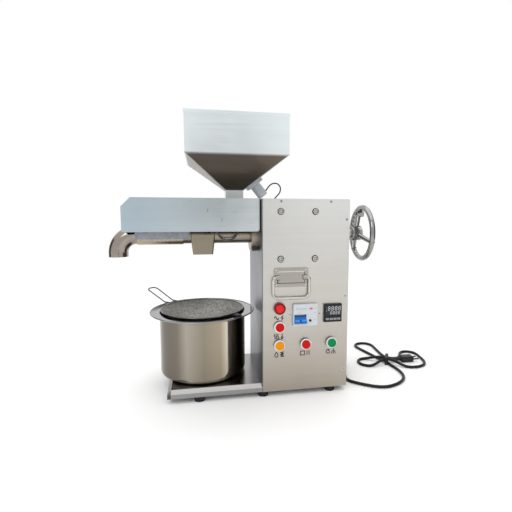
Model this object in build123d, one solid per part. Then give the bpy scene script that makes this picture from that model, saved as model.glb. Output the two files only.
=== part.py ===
from build123d import *
import math
import os

# Screw oil press. Lengths are millimetres.
# The pieces are drawn from a working datum: X from the cabinet's left face, Y from its front
# face, Z from the floor. The last step moves the origin to the middle of the footprint.

# Sheet-metal cabinet and base
SHEET = 1.5
BEND_RADIUS = 3.0
CABINET_WIDTH = 230.0
CABINET_DEPTH = 240.0
CABINET_HEIGHT = 500.0
FOOT_HEIGHT = 14.0
FOOT_RADIUS = 15.0
FOOT_TAPER = 2.0
FOOT_INSET = 16.0
FOOT_TRAY_INSET = 80.0
FOOT_MIDDLE = 4.5
FOOT_RIGHT_INSET = 42.0
TRAY_LENGTH = 240.0
TRAY_HEIGHT = 20.5
TRAY_BEVEL = 9.0
LIP_WIDTH = 34.0
FLANGE_WIDTH = 12.0
VENT_LENGTH = 60.0
VENT_HEIGHT = 4.0
VENT_PITCH = 12.0
VENT_ROWS = 8
VENT_CENTRE = 130.0

# Countersunk panel screws
SCREW_HEAD_RADIUS = 4.0
SCREW_RADIUS = 2.0
SCREW_LENGTH = 9.0
TOP_SCREW_LEFT = 48.5
TOP_SCREW_RIGHT = 51.5
SIDE_SCREWS = (62.0, 261.0, 462.0)
SCREW_INSET = 6.5

# Fits: pieces that slide, pieces that run on a shaft, and pieces pushed together
SLIDE_GAP = 0.3
RUN_GAP = 0.05
SEAT_GAP = 0.03

# Drive axis, along X
AXIS_Y = 88.0
AXIS_Z = 422.0

# Worm reducer, bolted by its foot to the front panel
GEAR_X = 92.5
CENTRE_DISTANCE = 75.0
MODULE = 3.0
WHEEL_TEETH = 40
WORM_STARTS = 2
WORM_TURNS = 3
PRESSURE_ANGLE = 20.0
BACKLASH = 0.5
WHEEL_ROOM = 3.5
WHEEL_SIDE_ROOM = 5.0
WORM_ROOM = 1.5
WORM_END_GAP = 2.0
WHEEL_TOOTH_LENGTH = 30.0
HUB_RADIUS = 25.0
HOUSING_HALF = 45.0
HOUSING_WALL = 8.0
FOOT_PLATE = 15.0
FOOT_PLATE_MARGIN = 11.0
BOLT_PITCH_X = 90.0
BOLT_PITCH_Z = 120.0
BOLT_RADIUS = 4.0
BOLT_HEAD_RADIUS = 7.0
BOLT_HEAD_HEIGHT = 5.0
BOLT_LENGTH = 18.0
BOLT_SOCKET = 5.8
BOLT_SOCKET_FLOOR = 2.0
BOLT_EDGE = 1.5
BEARING_WIDTH = 16.0
WHEEL_BEARING_RADIUS = 40.0
WORM_BEARING_RADIUS = 24.0
WORM_JOURNAL = 12.0
WORM_TUBE_RADIUS = 34.0
WORM_TUBE_DROP = 80.0
WORM_TUBE_RISE = 66.0
WORM_SEAT_DEPTH = 22.0

# Vertical motor under the worm
MOTOR_RADIUS = 70.0
MOTOR_LENGTH = 225.0
MOTOR_WALL = 8.0
MOTOR_BELL = 10.0
MOTOR_SHAFT = 10.0
MOTOR_SPIGOT = 7.0
MOTOR_SPIGOT_LENGTH = 40.0
STATOR_BORE = 41.0
STATOR_LENGTH = 110.0
ROTOR_AIR_GAP = 0.5
FAN_RADIUS = 55.0
FAN_HEIGHT = 14.0
FAN_HUB = 16.0
FAN_BLADE_ROOT = 15.0
FAN_BLADES = 8
FAN_CLEARANCE = 6.0
MOTOR_FLANGE_RADIUS = 62.0
MOTOR_FLANGE = 10.0
CAPACITOR_RADIUS = 20.0
CAPACITOR_HEIGHT = 55.0
CAPACITOR_RIGHT = 35.0
CAPACITOR_REAR = 50.0

# Main shaft and handwheel
SHAFT_RADIUS = 14.0
SHAFT_TAIL_RADIUS = 12.5
COUPLING_RADIUS = 20.0
COUPLING_LENGTH = 13.5
COUPLING_ROOM = 1.0
TANG_SIZE = 18.0
TANG_LENGTH = 34.0
HANDWHEEL_REACH = 72.0
HANDWHEEL_RADIUS = 72.0
RIM_RADIUS = 7.5
WHEEL_HUB_RADIUS = 21.0
WHEEL_HUB_LENGTH = 29.0
WHEEL_DISH = 5.0
SPOKE_ANGLES = (78.0, 198.0, 318.0)
SPOKE_ROOT = 8.0
SPOKE_TIP = 5.5
GRIP_BOSS_RADIUS = 9.5
GRIP_BOSS_ORBIT = 56.0
GRIP_HOLE = 5.0
RIM_OPENING = 3.0  # degrees, where the rim's ends meet inside the first spoke's end
SPOKE_END = 8.2
FINGER_GRIPS = 30
FINGER_GRIP_RADIUS = 6.0
FINGER_GRIP_DEPTH = 2.2

# Press barrel, screw and cake outlet
BARREL_RADIUS = 24.0
BARREL_BORE = 17.0
BARREL_LEFT = -312.0
BARREL_TAIL = 30.0
PRESS_SCREW_PITCH = 32.0
SCREW_FEED_CORE = 9.0
SCREW_END_CORE = 12.5
FLIGHT_CLEARANCE = 0.3
FLIGHT_ROOT = 6.0
FLIGHT_TIP = 3.5
FLIGHT_TURNS = 8.5
FLIGHT_RIGHT = -14.0
SCREW_SHANK_RIGHT = 28.0
SCREW_LEFT = -314.0
CHOKE_LENGTH = 14.0
CHOKE_RADIUS = 20.0
CHOKE_GAP = 1.2
SCREW_TIP_RADIUS = 10.5
OIL_SLOTS = 9
OIL_SLOT_WIDTH = 1.2
ELBOW_WALL = 2.0
ELBOW_BEND = 45.5
ELBOW_LEG = 10.0
COLLAR_RADIUS = 47.0
COLLAR_WIDTH = 20.0
BAND_LEFT = -309.0
BAND_LENGTH = 114.0
BAND_THICKNESS = 2.5
BAND_SPLIT = 3.0
TERMINAL_LENGTH = 22.0
TERMINAL_WIDTH = 16.0
TERMINAL_HEIGHT = 12.0

# Oil chute under the slots
CHUTE_X = -145.0
CHUTE_TOP_WIDTH = 64.0
CHUTE_FOOT_WIDTH = 52.0
CHUTE_TOP_DEPTH = 54.0
CHUTE_FOOT_DEPTH = 42.0
CHUTE_HEIGHT = 52.0
CHUTE_CORNER = 6.0

# Cover, heat shield, feed neck and hopper
COVER_LEFT = -337.0
COVER_GAP = 3.0
COVER_TOP = 515.0
COVER_HEIGHT = 83.5
COVER_DEPTH = 134.0
COVER_CHAMFER = 22.0
COVER_CORNER = 7.0
COVER_NOTCH_GAP = 3.0
SHIELD_SETBACK = 30.0
SHIELD_LEFT = -312.0
SHIELD_LENGTH = 133.0
SHIELD_BOTTOM = 411.0
SHIELD_SHEET = 1.0
SHIELD_FLANGE = 15.0
FEED_X = -62.0
NECK_WIDTH = 45.0
NECK_TOP = 537.0
NECK_PLATE = 70.0
HOPPER_SHEET = 1.2
HOPPER_WIDTH = 245.0
HOPPER_SLOPE = 79.0
HOPPER_WALL = 95.0
HOPPER_HEM = 8.0

# Vibrator on the hopper's right slope
VIBRATOR_PLATE = 46.0
VIBRATOR_PLATE_THICKNESS = 10.0
VIBRATOR_RADIUS = 14.0
VIBRATOR_LENGTH = 36.0
VIBRATOR_UP_SLOPE = 36.0
LEAD_RADIUS = 1.7
LEAD_EXIT = 29.0
LEAD_STANDOFF = 0.2
LEAD_HOLE_GAP = 1.0
HEATER_LEAD_RADIUS = 2.5

# Front panel controls: one lamp and four push buttons on a common grid
CONTROL_LEFT_SHARE = 0.1935
CONTROL_RIGHT = 45.5
CONTROL_ROW = 138.0
CONTROL_PITCH_Z = 48.5
BEZEL_RADIUS = 14.75
BEZEL_HEIGHT = 7.5
BEZEL_FLOOR = 0.5
BEZEL_EDGE = 2.0
CONTROL_NECK = 11.0
CONTROL_NECK_LENGTH = 20.0
CAP_RADIUS = 11.0
CAP_HEIGHT = 8.0
CAP_PROUD = 5.0
CAP_EDGE = 1.2
CAP_STEM = 4.0
CAP_STEM_LENGTH = 18.0
CONTACT_WIDTH = 28.0
CONTACT_HEIGHT = 40.0
CONTACT_DEPTH = 30.0
CONTACT_COLLAR = 6.5

# Earth-leakage breaker
BREAKER_Z = 216.5
BREAKER_WIDTH_SHARE = 0.2783
BREAKER_HEIGHT = 57.0
BREAKER_NOSE = 10.0
BREAKER_ROOM = 5.6
BREAKER_DEPTH = 55.0
TOGGLE_SHIFT_SHARE = 0.2188
TOGGLE_WIDTH_SHARE = 0.5
TOGGLE_PIVOT_Z = 207.0
TOGGLE_PIVOT_Y = -2.0
TOGGLE_HUB = 6.0
TOGGLE_REACH = 17.0
TOGGLE_THICKNESS = 7.0
TOGGLE_ANGLE = 36.0
TOGGLE_SLIT = 3.0
TOGGLE_EDGE = 2.1
TOGGLE_SLOT_MARGIN = 5.6
TEST_SHIFT_SHARE = 0.1875
TEST_Z = 202.0
TEST_RADIUS = 3.0
TEST_HEIGHT = 7.0
TEST_PROUD = 2.0

# Temperature controller
CONTROLLER_RIGHT = 43.0
CONTROLLER_Z = 218.0
CONTROLLER_SIZE = 48.0
CONTROLLER_CUTOUT = 45.0
CONTROLLER_PROUD = 7.0
CONTROLLER_DEPTH = 80.0
WINDOW_WIDTH = 42.0
WINDOW_HEIGHT = 27.0
WINDOW_RISE = 6.5
WINDOW_DEPTH = 1.0
KEY_PITCH = 10.4
KEY_WIDTH = 8.0
KEY_HEIGHT = 5.0
KEY_DROP = 15.5
KEY_PROUD = 0.8
KEY_LENGTH = 3.0

# Drop handles on the front and back panels
HANDLE_X = 74.5
HANDLE_Z = 315.0
HANDLE_PLATE_WIDTH = 91.0
HANDLE_PLATE_HEIGHT = 50.0
HANDLE_EMBOSS = 2.5
HANDLE_EMBOSS_MARGIN = 9.0
BAIL_WIRE = 3.5
BAIL_WIDTH = 94.0
BAIL_DROP = 53.5
BAIL_CORNER = 14.0
BAIL_PIN = 17.0
KNUCKLE_RADIUS = 6.0
KNUCKLE_LENGTH = 10.5
PIN_BEND = 6.0
PIVOT_STANDOFF = 7.0
RIVET_RADIUS = 3.0
RIVET_HEIGHT = 1.6
RIVET_EDGE = 1.28
RIVET_INSET_X = 6.0
RIVET_INSET_Z = 6.0

# Oil pot and strainer
POT_X = -148.0
POT_Y = 135.0
POT_RADIUS = 117.5
POT_BRIM = 142.0
POT_HEIGHT = 173.5
POT_WALL = 1.2
POT_CORNER = 15.0
BRIM_BEAD = 2.0
STRAINER_RADIUS = 113.5
STRAINER_WIRE = 2.0
STRAINER_DEPTH = 55.0
STRAINER_MESH = 0.8
HANDLE_WIRE = 2.2
HANDLE_ANGLE = 134.0
HANDLE_SPREAD = 15.0
HANDLE_TIP_SPREAD = 16.5
HANDLE_REACH = 226.0
HANDLE_RISE = 31.0
HANDLE_BEND = 12.0
LUG_LENGTH = 24.0
LUG_WIDTH = 14.0
LUG_THICKNESS = 4.0

# Mains cord, gland, hank, tie and plug
CORD_RADIUS = 4.25
CORNER_SHARE = 0.45
GLAND_REAR = 25.0
GLAND_Z = 46.0
GLAND_FLANGE = 10.0
GLAND_FLANGE_WIDTH = 6.0
GLAND_TIP = 6.5
GLAND_LENGTH = 16.0
GLAND_NECK = 8.0
GLAND_NECK_LENGTH = 8.0
HANK_REACH = 184.0
HANK_Y = 160.0
HANK_HEIGHT = 20.0
HANK_LOBES = ((94.0, 182.0, 68.0), (168.0, 100.0, 84.0), (36.0, 142.0, 70.0), (-44.0, 104.0, 68.0))
HANK_WAIST = 36.0
TIE_ANGLE = 150.0
TIE_WIDTH = 9.0
TIE_THICKNESS = 2.0
PLUG_LENGTH = 40.0
PLUG_WIDTH = 27.0
PLUG_HEIGHT = 19.0
PLUG_EDGE = 3.8
PLUG_OFFSET_X = 70.0
PLUG_OFFSET_Y = 2.0
PLUG_BOOT = 34.0
PLUG_BOOT_RADIUS = 6.0
PIN_LENGTH = 18.0
PIN_RADIUS = 2.4
PIN_PITCH = 19.0

# Values that follow from the sizes above
FOOT_COLUMNS = (FOOT_TRAY_INSET - TRAY_LENGTH, FOOT_MIDDLE, CABINET_WIDTH - FOOT_RIGHT_INSET)
TOP_SCREWS = (TOP_SCREW_LEFT, CABINET_WIDTH - TOP_SCREW_RIGHT)
CAPACITOR_X = CABINET_WIDTH - CAPACITOR_RIGHT
CAPACITOR_Y = CABINET_DEPTH - CAPACITOR_REAR
HANDWHEEL_X = CABINET_WIDTH + HANDWHEEL_REACH
GLAND_Y = CABINET_DEPTH - GLAND_REAR
GLAND_END = CABINET_WIDTH + GLAND_LENGTH
HANK_X = GLAND_END + HANK_REACH
CONTROL_LEFT = CABINET_WIDTH * CONTROL_LEFT_SHARE
CONTROL_PITCH_X = (CABINET_WIDTH - CONTROL_LEFT - CONTROL_RIGHT) / 2
CONTROLLER_X = CABINET_WIDTH - CONTROLLER_RIGHT
BREAKER_WIDTH = CABINET_WIDTH * BREAKER_WIDTH_SHARE
BREAKER_BAY = (CONTROL_LEFT + BEZEL_RADIUS, CONTROLLER_X - CONTROLLER_CUTOUT / 2)
BREAKER_X = sum(BREAKER_BAY) / 2
BREAKER_SHOULDER = (BREAKER_BAY[1] - BREAKER_BAY[0] - BREAKER_WIDTH) / 2 - BREAKER_ROOM
BREAKER_SCREWS = tuple(BREAKER_X + side * (BREAKER_WIDTH + BREAKER_SHOULDER) / 2 for side in (-1, 1))
TOGGLE_X = BREAKER_X - BREAKER_WIDTH * TOGGLE_SHIFT_SHARE
TOGGLE_WIDTH = BREAKER_WIDTH * TOGGLE_WIDTH_SHARE
TEST_X = BREAKER_X + BREAKER_WIDTH * TEST_SHIFT_SHARE
CABINET_TOP = FOOT_HEIGHT + CABINET_HEIGHT
TRAY_TOP = FOOT_HEIGHT + TRAY_HEIGHT
PANEL_BACK = CABINET_DEPTH - SHEET
PANEL_RIGHT = CABINET_WIDTH - SHEET
PANEL_TOP = CABINET_TOP - SHEET
TOP_SCREW_Z = CABINET_TOP - SCREW_INSET
SIDE_SCREW_X = CABINET_WIDTH - SCREW_INSET - SHEET
WHEEL_PITCH_RADIUS = MODULE * WHEEL_TEETH / 2
WORM_PITCH_RADIUS = CENTRE_DISTANCE - WHEEL_PITCH_RADIUS
WORM_LEAD = math.pi * MODULE * WORM_STARTS
WORM_LENGTH = WORM_LEAD * WORM_TURNS
WORM_Y = AXIS_Y + CENTRE_DISTANCE
HOUSING_LEFT = GEAR_X - HOUSING_HALF
HOUSING_RIGHT = GEAR_X + HOUSING_HALF
WHEEL_TIP_RADIUS = WHEEL_PITCH_RADIUS + MODULE
CHAMBER_RADIUS = WHEEL_TIP_RADIUS + WHEEL_ROOM
CHAMBER_HALF = WHEEL_TOOTH_LENGTH / 2 + WHEEL_SIDE_ROOM
MOTOR_TOP = AXIS_Z - WORM_TUBE_DROP
MOTOR_BOTTOM = MOTOR_TOP - MOTOR_LENGTH
STATOR_CENTRE = (MOTOR_TOP + MOTOR_BOTTOM) / 2
COUPLING_LEFT = HOUSING_LEFT - COUPLING_LENGTH
WHEEL_HUB_RIGHT = HANDWHEEL_X - WHEEL_DISH
COVER_BOTTOM = COVER_TOP - COVER_HEIGHT
COVER_BACK = AXIS_Y + COVER_DEPTH / 2
COVER_CEILING = COVER_TOP - SHEET
SLOPE_RUN = (HOPPER_WIDTH - NECK_WIDTH) / 2
SLOPE_LENGTH = math.hypot(SLOPE_RUN, HOPPER_SLOPE)
CONTROL_COLUMNS = tuple(CONTROL_LEFT + CONTROL_PITCH_X * i for i in range(3))
LAMP_SPOT = (CONTROL_COLUMNS[0], CONTROL_ROW + 2 * CONTROL_PITCH_Z)
BUTTON_SPOTS = {
    "heat_button": (CONTROL_COLUMNS[0], CONTROL_ROW + CONTROL_PITCH_Z),
    "press_button": (CONTROL_COLUMNS[0], CONTROL_ROW),
    "stop_button": (CONTROL_COLUMNS[1], CONTROL_ROW),
    "clean_button": (CONTROL_COLUMNS[2], CONTROL_ROW),
}
KEY_NAMES = ("set_key", "shift_key", "down_key", "up_key")
PIVOT_Y = -PIVOT_STANDOFF
KNUCKLE_REACH = BAIL_WIDTH / 2 - PIN_BEND - SLIDE_GAP
FLIGHT_LEFT = FLIGHT_RIGHT - PRESS_SCREW_PITCH * FLIGHT_TURNS
POT_RIM = TRAY_TOP + POT_HEIGHT
STRAINER_Z = POT_RIM + BRIM_BEAD + HANDLE_WIRE + SLIDE_GAP

# Route of the cord as (distance from the gland's end in x, y, z) up to the hank, chosen by eye
CORD_ROUTE = (
    (0.0, GLAND_Y, GLAND_Z),
    (16.0, GLAND_Y, GLAND_Z),
    (31.0, 207.0, 43.0),
    (40.5, 193.0, 38.0),
    (42.5, 175.0, 31.0),
    (37.5, 154.0, 23.0),
    (29.5, 129.0, 14.5),
    (20.0, 103.0, 8.0),
    (12.0, 78.0, 5.2),
    (8.0, 60.0, CORD_RADIUS),
    (13.0, 44.0, CORD_RADIUS),
    (26.0, 30.0, CORD_RADIUS),
    (45.0, 14.0, CORD_RADIUS),
    (68.0, -2.0, CORD_RADIUS),
    (93.0, -10.0, CORD_RADIUS),
    (118.0, -6.0, CORD_RADIUS),
    (144.0, 6.0, CORD_RADIUS),
    (167.0, 24.0, CORD_RADIUS),
    (182.0, 48.0, CORD_RADIUS),
    (188.0, 75.0, CORD_RADIUS),
    (187.5, 102.0, CORD_RADIUS),
    (185.5, 122.0, CORD_RADIUS),
    (183.0, 139.0, CORD_RADIUS),
)

# Heater lead as (x, distance from the drive axis in y and in z), from the terminals to the cabinet
HEATER_LEAD_ROUTE = (
    (-190.0, 0.0, 31.0),
    (-173.0, -6.0, 36.0),
    (-156.0, -15.0, 41.0),
    (-138.0, -24.0, 41.0),
    (-121.0, -30.0, 33.0),
    (-112.0, -30.5, 18.0),
    (-107.0, -30.5, 2.0),
    (-98.0, -30.5, -11.0),
    (-82.0, -30.5, -16.0),
    (-66.0, -30.5, -11.0),
    (-57.0, -30.5, 2.0),
    (-52.0, -30.5, 18.0),
    (-43.0, -30.5, 33.0),
    (-28.0, -30.5, 41.0),
    (-12.0, -30.5, 43.5),
    (4.0, -30.5, 44.0),
)
# Vibrator lead as (x, distance from the drive axis in y, height over the cabinet's top)
VIBRATOR_LEAD_ROUTE = (
    (32.2, 0.5, 33.7),
    (40.6, 1.5, 36.8),
    (48.4, 2.5, 32.3),
    (50.0, 3.5, 23.4),
    (46.5, 4.0, 14.6),
    (42.5, 4.0, 6.5),
    (41.0, 4.0, -2.5),
    (41.0, 4.5, -10.0),
)

FROM_BASE = (Align.CENTER, Align.CENTER, Align.MIN)


# Shared building blocks
def block(x0, x1, y0, y1, z0, z1):
    """Box between two corners."""
    return Pos((x0 + x1) / 2, (y0 + y1) / 2, (z0 + z1) / 2) * Box(x1 - x0, y1 - y0, z1 - z0)


def rod_x(x0, x1, radius, y=AXIS_Y, z=AXIS_Z):
    """Cylinder along X, on the drive axis unless told otherwise."""
    return Pos(x0, y, z) * Rot(0, 90, 0) * Cylinder(radius, x1 - x0, align=FROM_BASE)


def rod_y(y0, y1, radius, x, z):
    """Cylinder along Y."""
    return Pos(x, y0, z) * Rot(-90, 0, 0) * Cylinder(radius, y1 - y0, align=FROM_BASE)


def rod_z(z0, z1, radius, x, y):
    """Cylinder along Z."""
    return Pos(x, y, z0) * Cylinder(radius, z1 - z0, align=FROM_BASE)


def turned_x(points, y=AXIS_Y, z=AXIS_Z):
    """Solid of revolution about a line along X, from (x, radius) points of half its section."""
    outline = make_face(Polyline(*[(x, r) for x, r in points], close=True))
    return Pos(0, y, z) * revolve(outline, Axis.X)


def plate_hole(spot, radius):
    """Cutter through the front panel at (x, z)."""
    return rod_y(-1, SHEET + 1, radius, *spot)


def to_back(shape):
    """Turn a piece on the front panel to the same place on the back panel, seen from behind."""
    middle = (CABINET_WIDTH / 2, CABINET_DEPTH / 2, 0)
    return Pos(*middle) * Rot(0, 0, 180) * Pos(-middle[0], -middle[1], 0) * shape


def tube(points, radii, radius):
    """Round bar along straight runs with a rounded corner of its own radius at each point."""
    path = FilletPolyline(*points, radius=radii)
    start = Plane(origin=path @ 0, z_dir=path % 0)
    return sweep(start * Circle(radius), path=path)


# Cabinet and base
def bevelled_block(x0, x1, y0, y1, z0, z1, bevel):
    """Box whose top edges are bevelled at the front, the back and the left."""
    body = block(x0, x1, y0, y1, z0, z1)
    rim = body.faces().sort_by(Axis.Z)[-1].edges().sort_by(Axis.X)[:-1]
    return chamfer(rim, bevel)


def base_pan():
    """Folded pan under the cabinet and the pot, with a return lip for the feet."""
    inner_bevel = TRAY_BEVEL - SHEET * (2 - math.sqrt(2))
    x0, x1 = -TRAY_LENGTH, PANEL_RIGHT
    y0, y1 = SHEET, PANEL_BACK
    pan = bevelled_block(x0, x1, y0, y1, FOOT_HEIGHT, TRAY_TOP, TRAY_BEVEL)
    pan -= bevelled_block(
        x0 + SHEET, x1 - SHEET, y0 + SHEET, y1 - SHEET, FOOT_HEIGHT + SHEET, TRAY_TOP - SHEET, inner_bevel
    )
    window = block(
        x0 + LIP_WIDTH, x1 - LIP_WIDTH, y0 + LIP_WIDTH, y1 - LIP_WIDTH,
        FOOT_HEIGHT - SHEET, FOOT_HEIGHT + 2 * SHEET,
    )
    return pan - window


def rubber_feet():
    """Six tapered feet in two rows."""
    foot = Cone(FOOT_RADIUS - FOOT_TAPER, FOOT_RADIUS, FOOT_HEIGHT, align=FROM_BASE)
    rows = (FOOT_INSET, CABINET_DEPTH - FOOT_INSET)
    return [Pos(x, y, 0) * foot for x in FOOT_COLUMNS for y in rows]


def vent_cutters():
    """Stack of ventilation slots through a panel that lies in XZ, centred on X."""
    slot = extrude(Plane.XZ * SlotOverall(VENT_LENGTH, VENT_HEIGHT), SHEET * 2, both=True)
    return [Pos(0, 0, VENT_PITCH * (i - (VENT_ROWS - 1) / 2)) * slot for i in range(VENT_ROWS)]


def front_screw_spots():
    """Places of the panel screws, as (x, z), the same on the front and the back."""
    top = [(x, TOP_SCREW_Z) for x in TOP_SCREWS]
    return top + [(SIDE_SCREW_X, z) for z in SIDE_SCREWS]


def breaker_screw_spots():
    """Screws beside the breaker's window."""
    return [(x, BREAKER_Z) for x in BREAKER_SCREWS]


def screw_form(gap):
    """Countersunk screw along +Y from the panel's outer face, grown by a gap for its hole."""
    head = Cone(SCREW_HEAD_RADIUS + gap, SCREW_RADIUS + gap, SHEET, align=FROM_BASE)
    shank = Pos(0, 0, SHEET) * Cylinder(SCREW_RADIUS + gap, SCREW_LENGTH, align=FROM_BASE)
    return Rot(-90, 0, 0) * (head + shank)


def at_panel_screws(form):
    """Copies of a form at each panel screw: front, breaker and back."""
    front = [Pos(x, 0, z) * form for x, z in front_screw_spots() + breaker_screw_spots()]
    back = [Pos(x, CABINET_DEPTH, z) * Rot(0, 0, 180) * form for x, z in front_screw_spots()]
    return front + back


def panel_screws():
    """Screws that close the cabinet and hold the breaker."""
    return at_panel_screws(screw_form(0))


def bolt_spots():
    """Foot bolts of the reducer, as (x, z)."""
    return [
        (GEAR_X + i * BOLT_PITCH_X / 2, AXIS_Z + j * BOLT_PITCH_Z / 2) for i in (-1, 1) for j in (-1, 1)
    ]


def rivet_spots():
    """Rivets at the corners of the handle plate, as (x, z)."""
    half_x = HANDLE_PLATE_WIDTH / 2 - RIVET_INSET_X
    half_z = HANDLE_PLATE_HEIGHT / 2 - RIVET_INSET_Z
    return [(HANDLE_X + i * half_x, HANDLE_Z + j * half_z) for i in (-1, 1) for j in (-1, 1)]


def wrap_panel():
    """Front, left side and back of the cabinet, folded from one sheet."""
    outer = block(0, PANEL_RIGHT, 0, CABINET_DEPTH, FOOT_HEIGHT, PANEL_TOP)
    outer = fillet(outer.edges().filter_by(Axis.Z).sort_by(Axis.X)[:2], BEND_RADIUS)
    inner = block(SHEET, CABINET_WIDTH, SHEET, PANEL_BACK, FOOT_HEIGHT - 1, PANEL_TOP + 1)
    inner = fillet(inner.edges().filter_by(Axis.Z).sort_by(Axis.X)[:2], BEND_RADIUS - SHEET)
    panel = outer - inner
    panel -= block(-1, BEND_RADIUS + SHEET, SHEET, PANEL_BACK, FOOT_HEIGHT - 1, TRAY_TOP)
    panel -= rod_x(-1, SHEET + 1, BARREL_RADIUS + SLIDE_GAP)
    panel -= lead_hole()
    panel -= at_panel_screws(screw_form(RUN_GAP))
    panel -= [plate_hole(spot, BOLT_RADIUS + SLIDE_GAP) for spot in bolt_spots()]
    panel -= [plate_hole(spot, CONTROL_NECK + SEAT_GAP) for spot in control_spots()]
    rivets = [plate_hole(spot, RIVET_RADIUS / 2 + SEAT_GAP) for spot in rivet_spots()]
    panel -= rivets + [to_back(rivet) for rivet in rivets]
    panel -= breaker_nose(SLIDE_GAP, -1, SHEET + 1)
    panel -= controller_square(CONTROLLER_CUTOUT, -1, SHEET + 1)
    panel -= [Pos(CABINET_WIDTH / 2, CABINET_DEPTH, VENT_CENTRE) * slot for slot in vent_cutters()]
    return panel


def service_cover():
    """Top and right side of the cabinet, one folded sheet with flanges behind the panels."""
    cover = block(0, CABINET_WIDTH, 0, CABINET_DEPTH, FOOT_HEIGHT, CABINET_TOP)
    cover = fillet(cover.edges().filter_by(Axis.Y).group_by(Axis.X)[-1].sort_by(Axis.Z)[-1:], BEND_RADIUS)
    cover -= block(-1, PANEL_RIGHT, -1, CABINET_DEPTH + 1, FOOT_HEIGHT - 1, PANEL_TOP)
    for y in (SHEET, PANEL_BACK - SHEET):
        top = block(BEND_RADIUS + SHEET, PANEL_RIGHT, y, y + SHEET, PANEL_TOP - FLANGE_WIDTH, PANEL_TOP)
        side = block(PANEL_RIGHT - FLANGE_WIDTH, PANEL_RIGHT, y, y + SHEET, TRAY_TOP, PANEL_TOP)
        cover += top + side
    cover -= at_panel_screws(screw_form(RUN_GAP))
    cover -= rod_x(PANEL_RIGHT - 1, CABINET_WIDTH + 1, SHAFT_TAIL_RADIUS + BEND_RADIUS)
    cover -= rod_x(PANEL_RIGHT - 1, CABINET_WIDTH + 1, GLAND_NECK + SEAT_GAP, GLAND_Y, GLAND_Z)
    cover -= vibrator_lead_hole()
    side_vents = [Rot(0, 0, 90) * slot for slot in vent_cutters()]
    cover -= [Pos(CABINET_WIDTH, CABINET_DEPTH / 2, VENT_CENTRE) * slot for slot in side_vents]
    return cover


# Drop handles
def handle_plate():
    """Pressed plate with a raised middle and two knuckles for the bail's pins."""
    half_x = HANDLE_PLATE_WIDTH / 2
    half_z = HANDLE_PLATE_HEIGHT / 2
    plate = block(HANDLE_X - half_x, HANDLE_X + half_x, -SHEET, 0, HANDLE_Z - half_z, HANDLE_Z + half_z)
    plate = fillet(plate.edges().filter_by(Axis.Y), RIVET_INSET_X)
    face = Plane(origin=(HANDLE_X, -SHEET, HANDLE_Z), x_dir=(1, 0, 0), z_dir=(0, -1, 0))
    margin = 2 * HANDLE_EMBOSS_MARGIN
    pad = Rectangle(HANDLE_PLATE_WIDTH - margin, HANDLE_PLATE_HEIGHT - margin)
    plate += extrude(face * pad, HANDLE_EMBOSS, taper=45)
    for side in (-1, 1):
        x0, x1 = sorted(HANDLE_X + side * reach for reach in (KNUCKLE_REACH, KNUCKLE_REACH - KNUCKLE_LENGTH))
        plate += rod_x(x0, x1, KNUCKLE_RADIUS, PIVOT_Y, HANDLE_Z)
        plate += block(x0, x1, PIVOT_Y, 0, HANDLE_Z - KNUCKLE_RADIUS, HANDLE_Z + KNUCKLE_RADIUS)
        plate -= rod_x(x0 - 1, x1 + 1, BAIL_WIRE + RUN_GAP, PIVOT_Y, HANDLE_Z)
    return plate - [rod_y(-SHEET - 1, 1, RIVET_RADIUS / 2 + SEAT_GAP, *spot) for spot in rivet_spots()]


def bail():
    """Bent wire grip that hangs from the knuckles."""
    half = BAIL_WIDTH / 2
    low = HANDLE_Z - BAIL_DROP
    corners = ((half - BAIL_PIN, HANDLE_Z), (half, HANDLE_Z), (half, low))
    left = [(HANDLE_X - x, PIVOT_Y, z) for x, z in corners]
    right = [(HANDLE_X + x, PIVOT_Y, z) for x, z in reversed(corners)]
    return tube(left + right, [PIN_BEND, BAIL_CORNER, BAIL_CORNER, PIN_BEND], BAIL_WIRE)


def handle_rivets():
    """Rivets of one handle plate."""
    rivets = []
    for spot in rivet_spots():
        head = rod_y(-SHEET - RIVET_HEIGHT, -SHEET, RIVET_RADIUS, *spot)
        head = fillet(head.faces().sort_by(Axis.Y)[0].edges(), RIVET_EDGE)
        rivets.append(head + rod_y(-SHEET, 2 * SHEET, RIVET_RADIUS / 2, *spot))
    return rivets


# Lamp and push buttons. Their local Z points out of the panel.
def on_front(spot):
    """Plane on the front panel's outer face at (x, z), facing the user."""
    return Plane(origin=(spot[0], 0, spot[1]), x_dir=(1, 0, 0), z_dir=(0, -1, 0))


def control_spots():
    """Places of the lamp and the buttons, as (x, z)."""
    return [LAMP_SPOT, *BUTTON_SPOTS.values()]


def drum(z0, z1, radius):
    """Cylinder on a panel item's own axis."""
    return Pos(0, 0, z0) * Cylinder(radius, z1 - z0, align=FROM_BASE)


def control_bezel():
    """Cup-shaped ring in front of the panel with a neck through it."""
    ring = drum(0, BEZEL_HEIGHT, BEZEL_RADIUS)
    ring = fillet(ring.faces().sort_by(Axis.Z)[-1].edges(), BEZEL_EDGE)
    ring -= drum(BEZEL_FLOOR, BEZEL_HEIGHT + 1, CAP_RADIUS + SLIDE_GAP)
    ring += drum(-CONTROL_NECK_LENGTH, 0, CONTROL_NECK)
    return ring - drum(-CONTROL_NECK_LENGTH - 1, BEZEL_HEIGHT, CAP_STEM + RUN_GAP)


def button_cap():
    """Coloured cap on a stem that slides in the bezel's neck."""
    top = BEZEL_HEIGHT + CAP_PROUD
    head = drum(top - CAP_HEIGHT, top, CAP_RADIUS)
    head = fillet(head.faces().sort_by(Axis.Z)[-1].edges(), CAP_EDGE)
    return head + drum(top - CAP_HEIGHT - CAP_STEM_LENGTH, top - CAP_HEIGHT, CAP_STEM)


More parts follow.
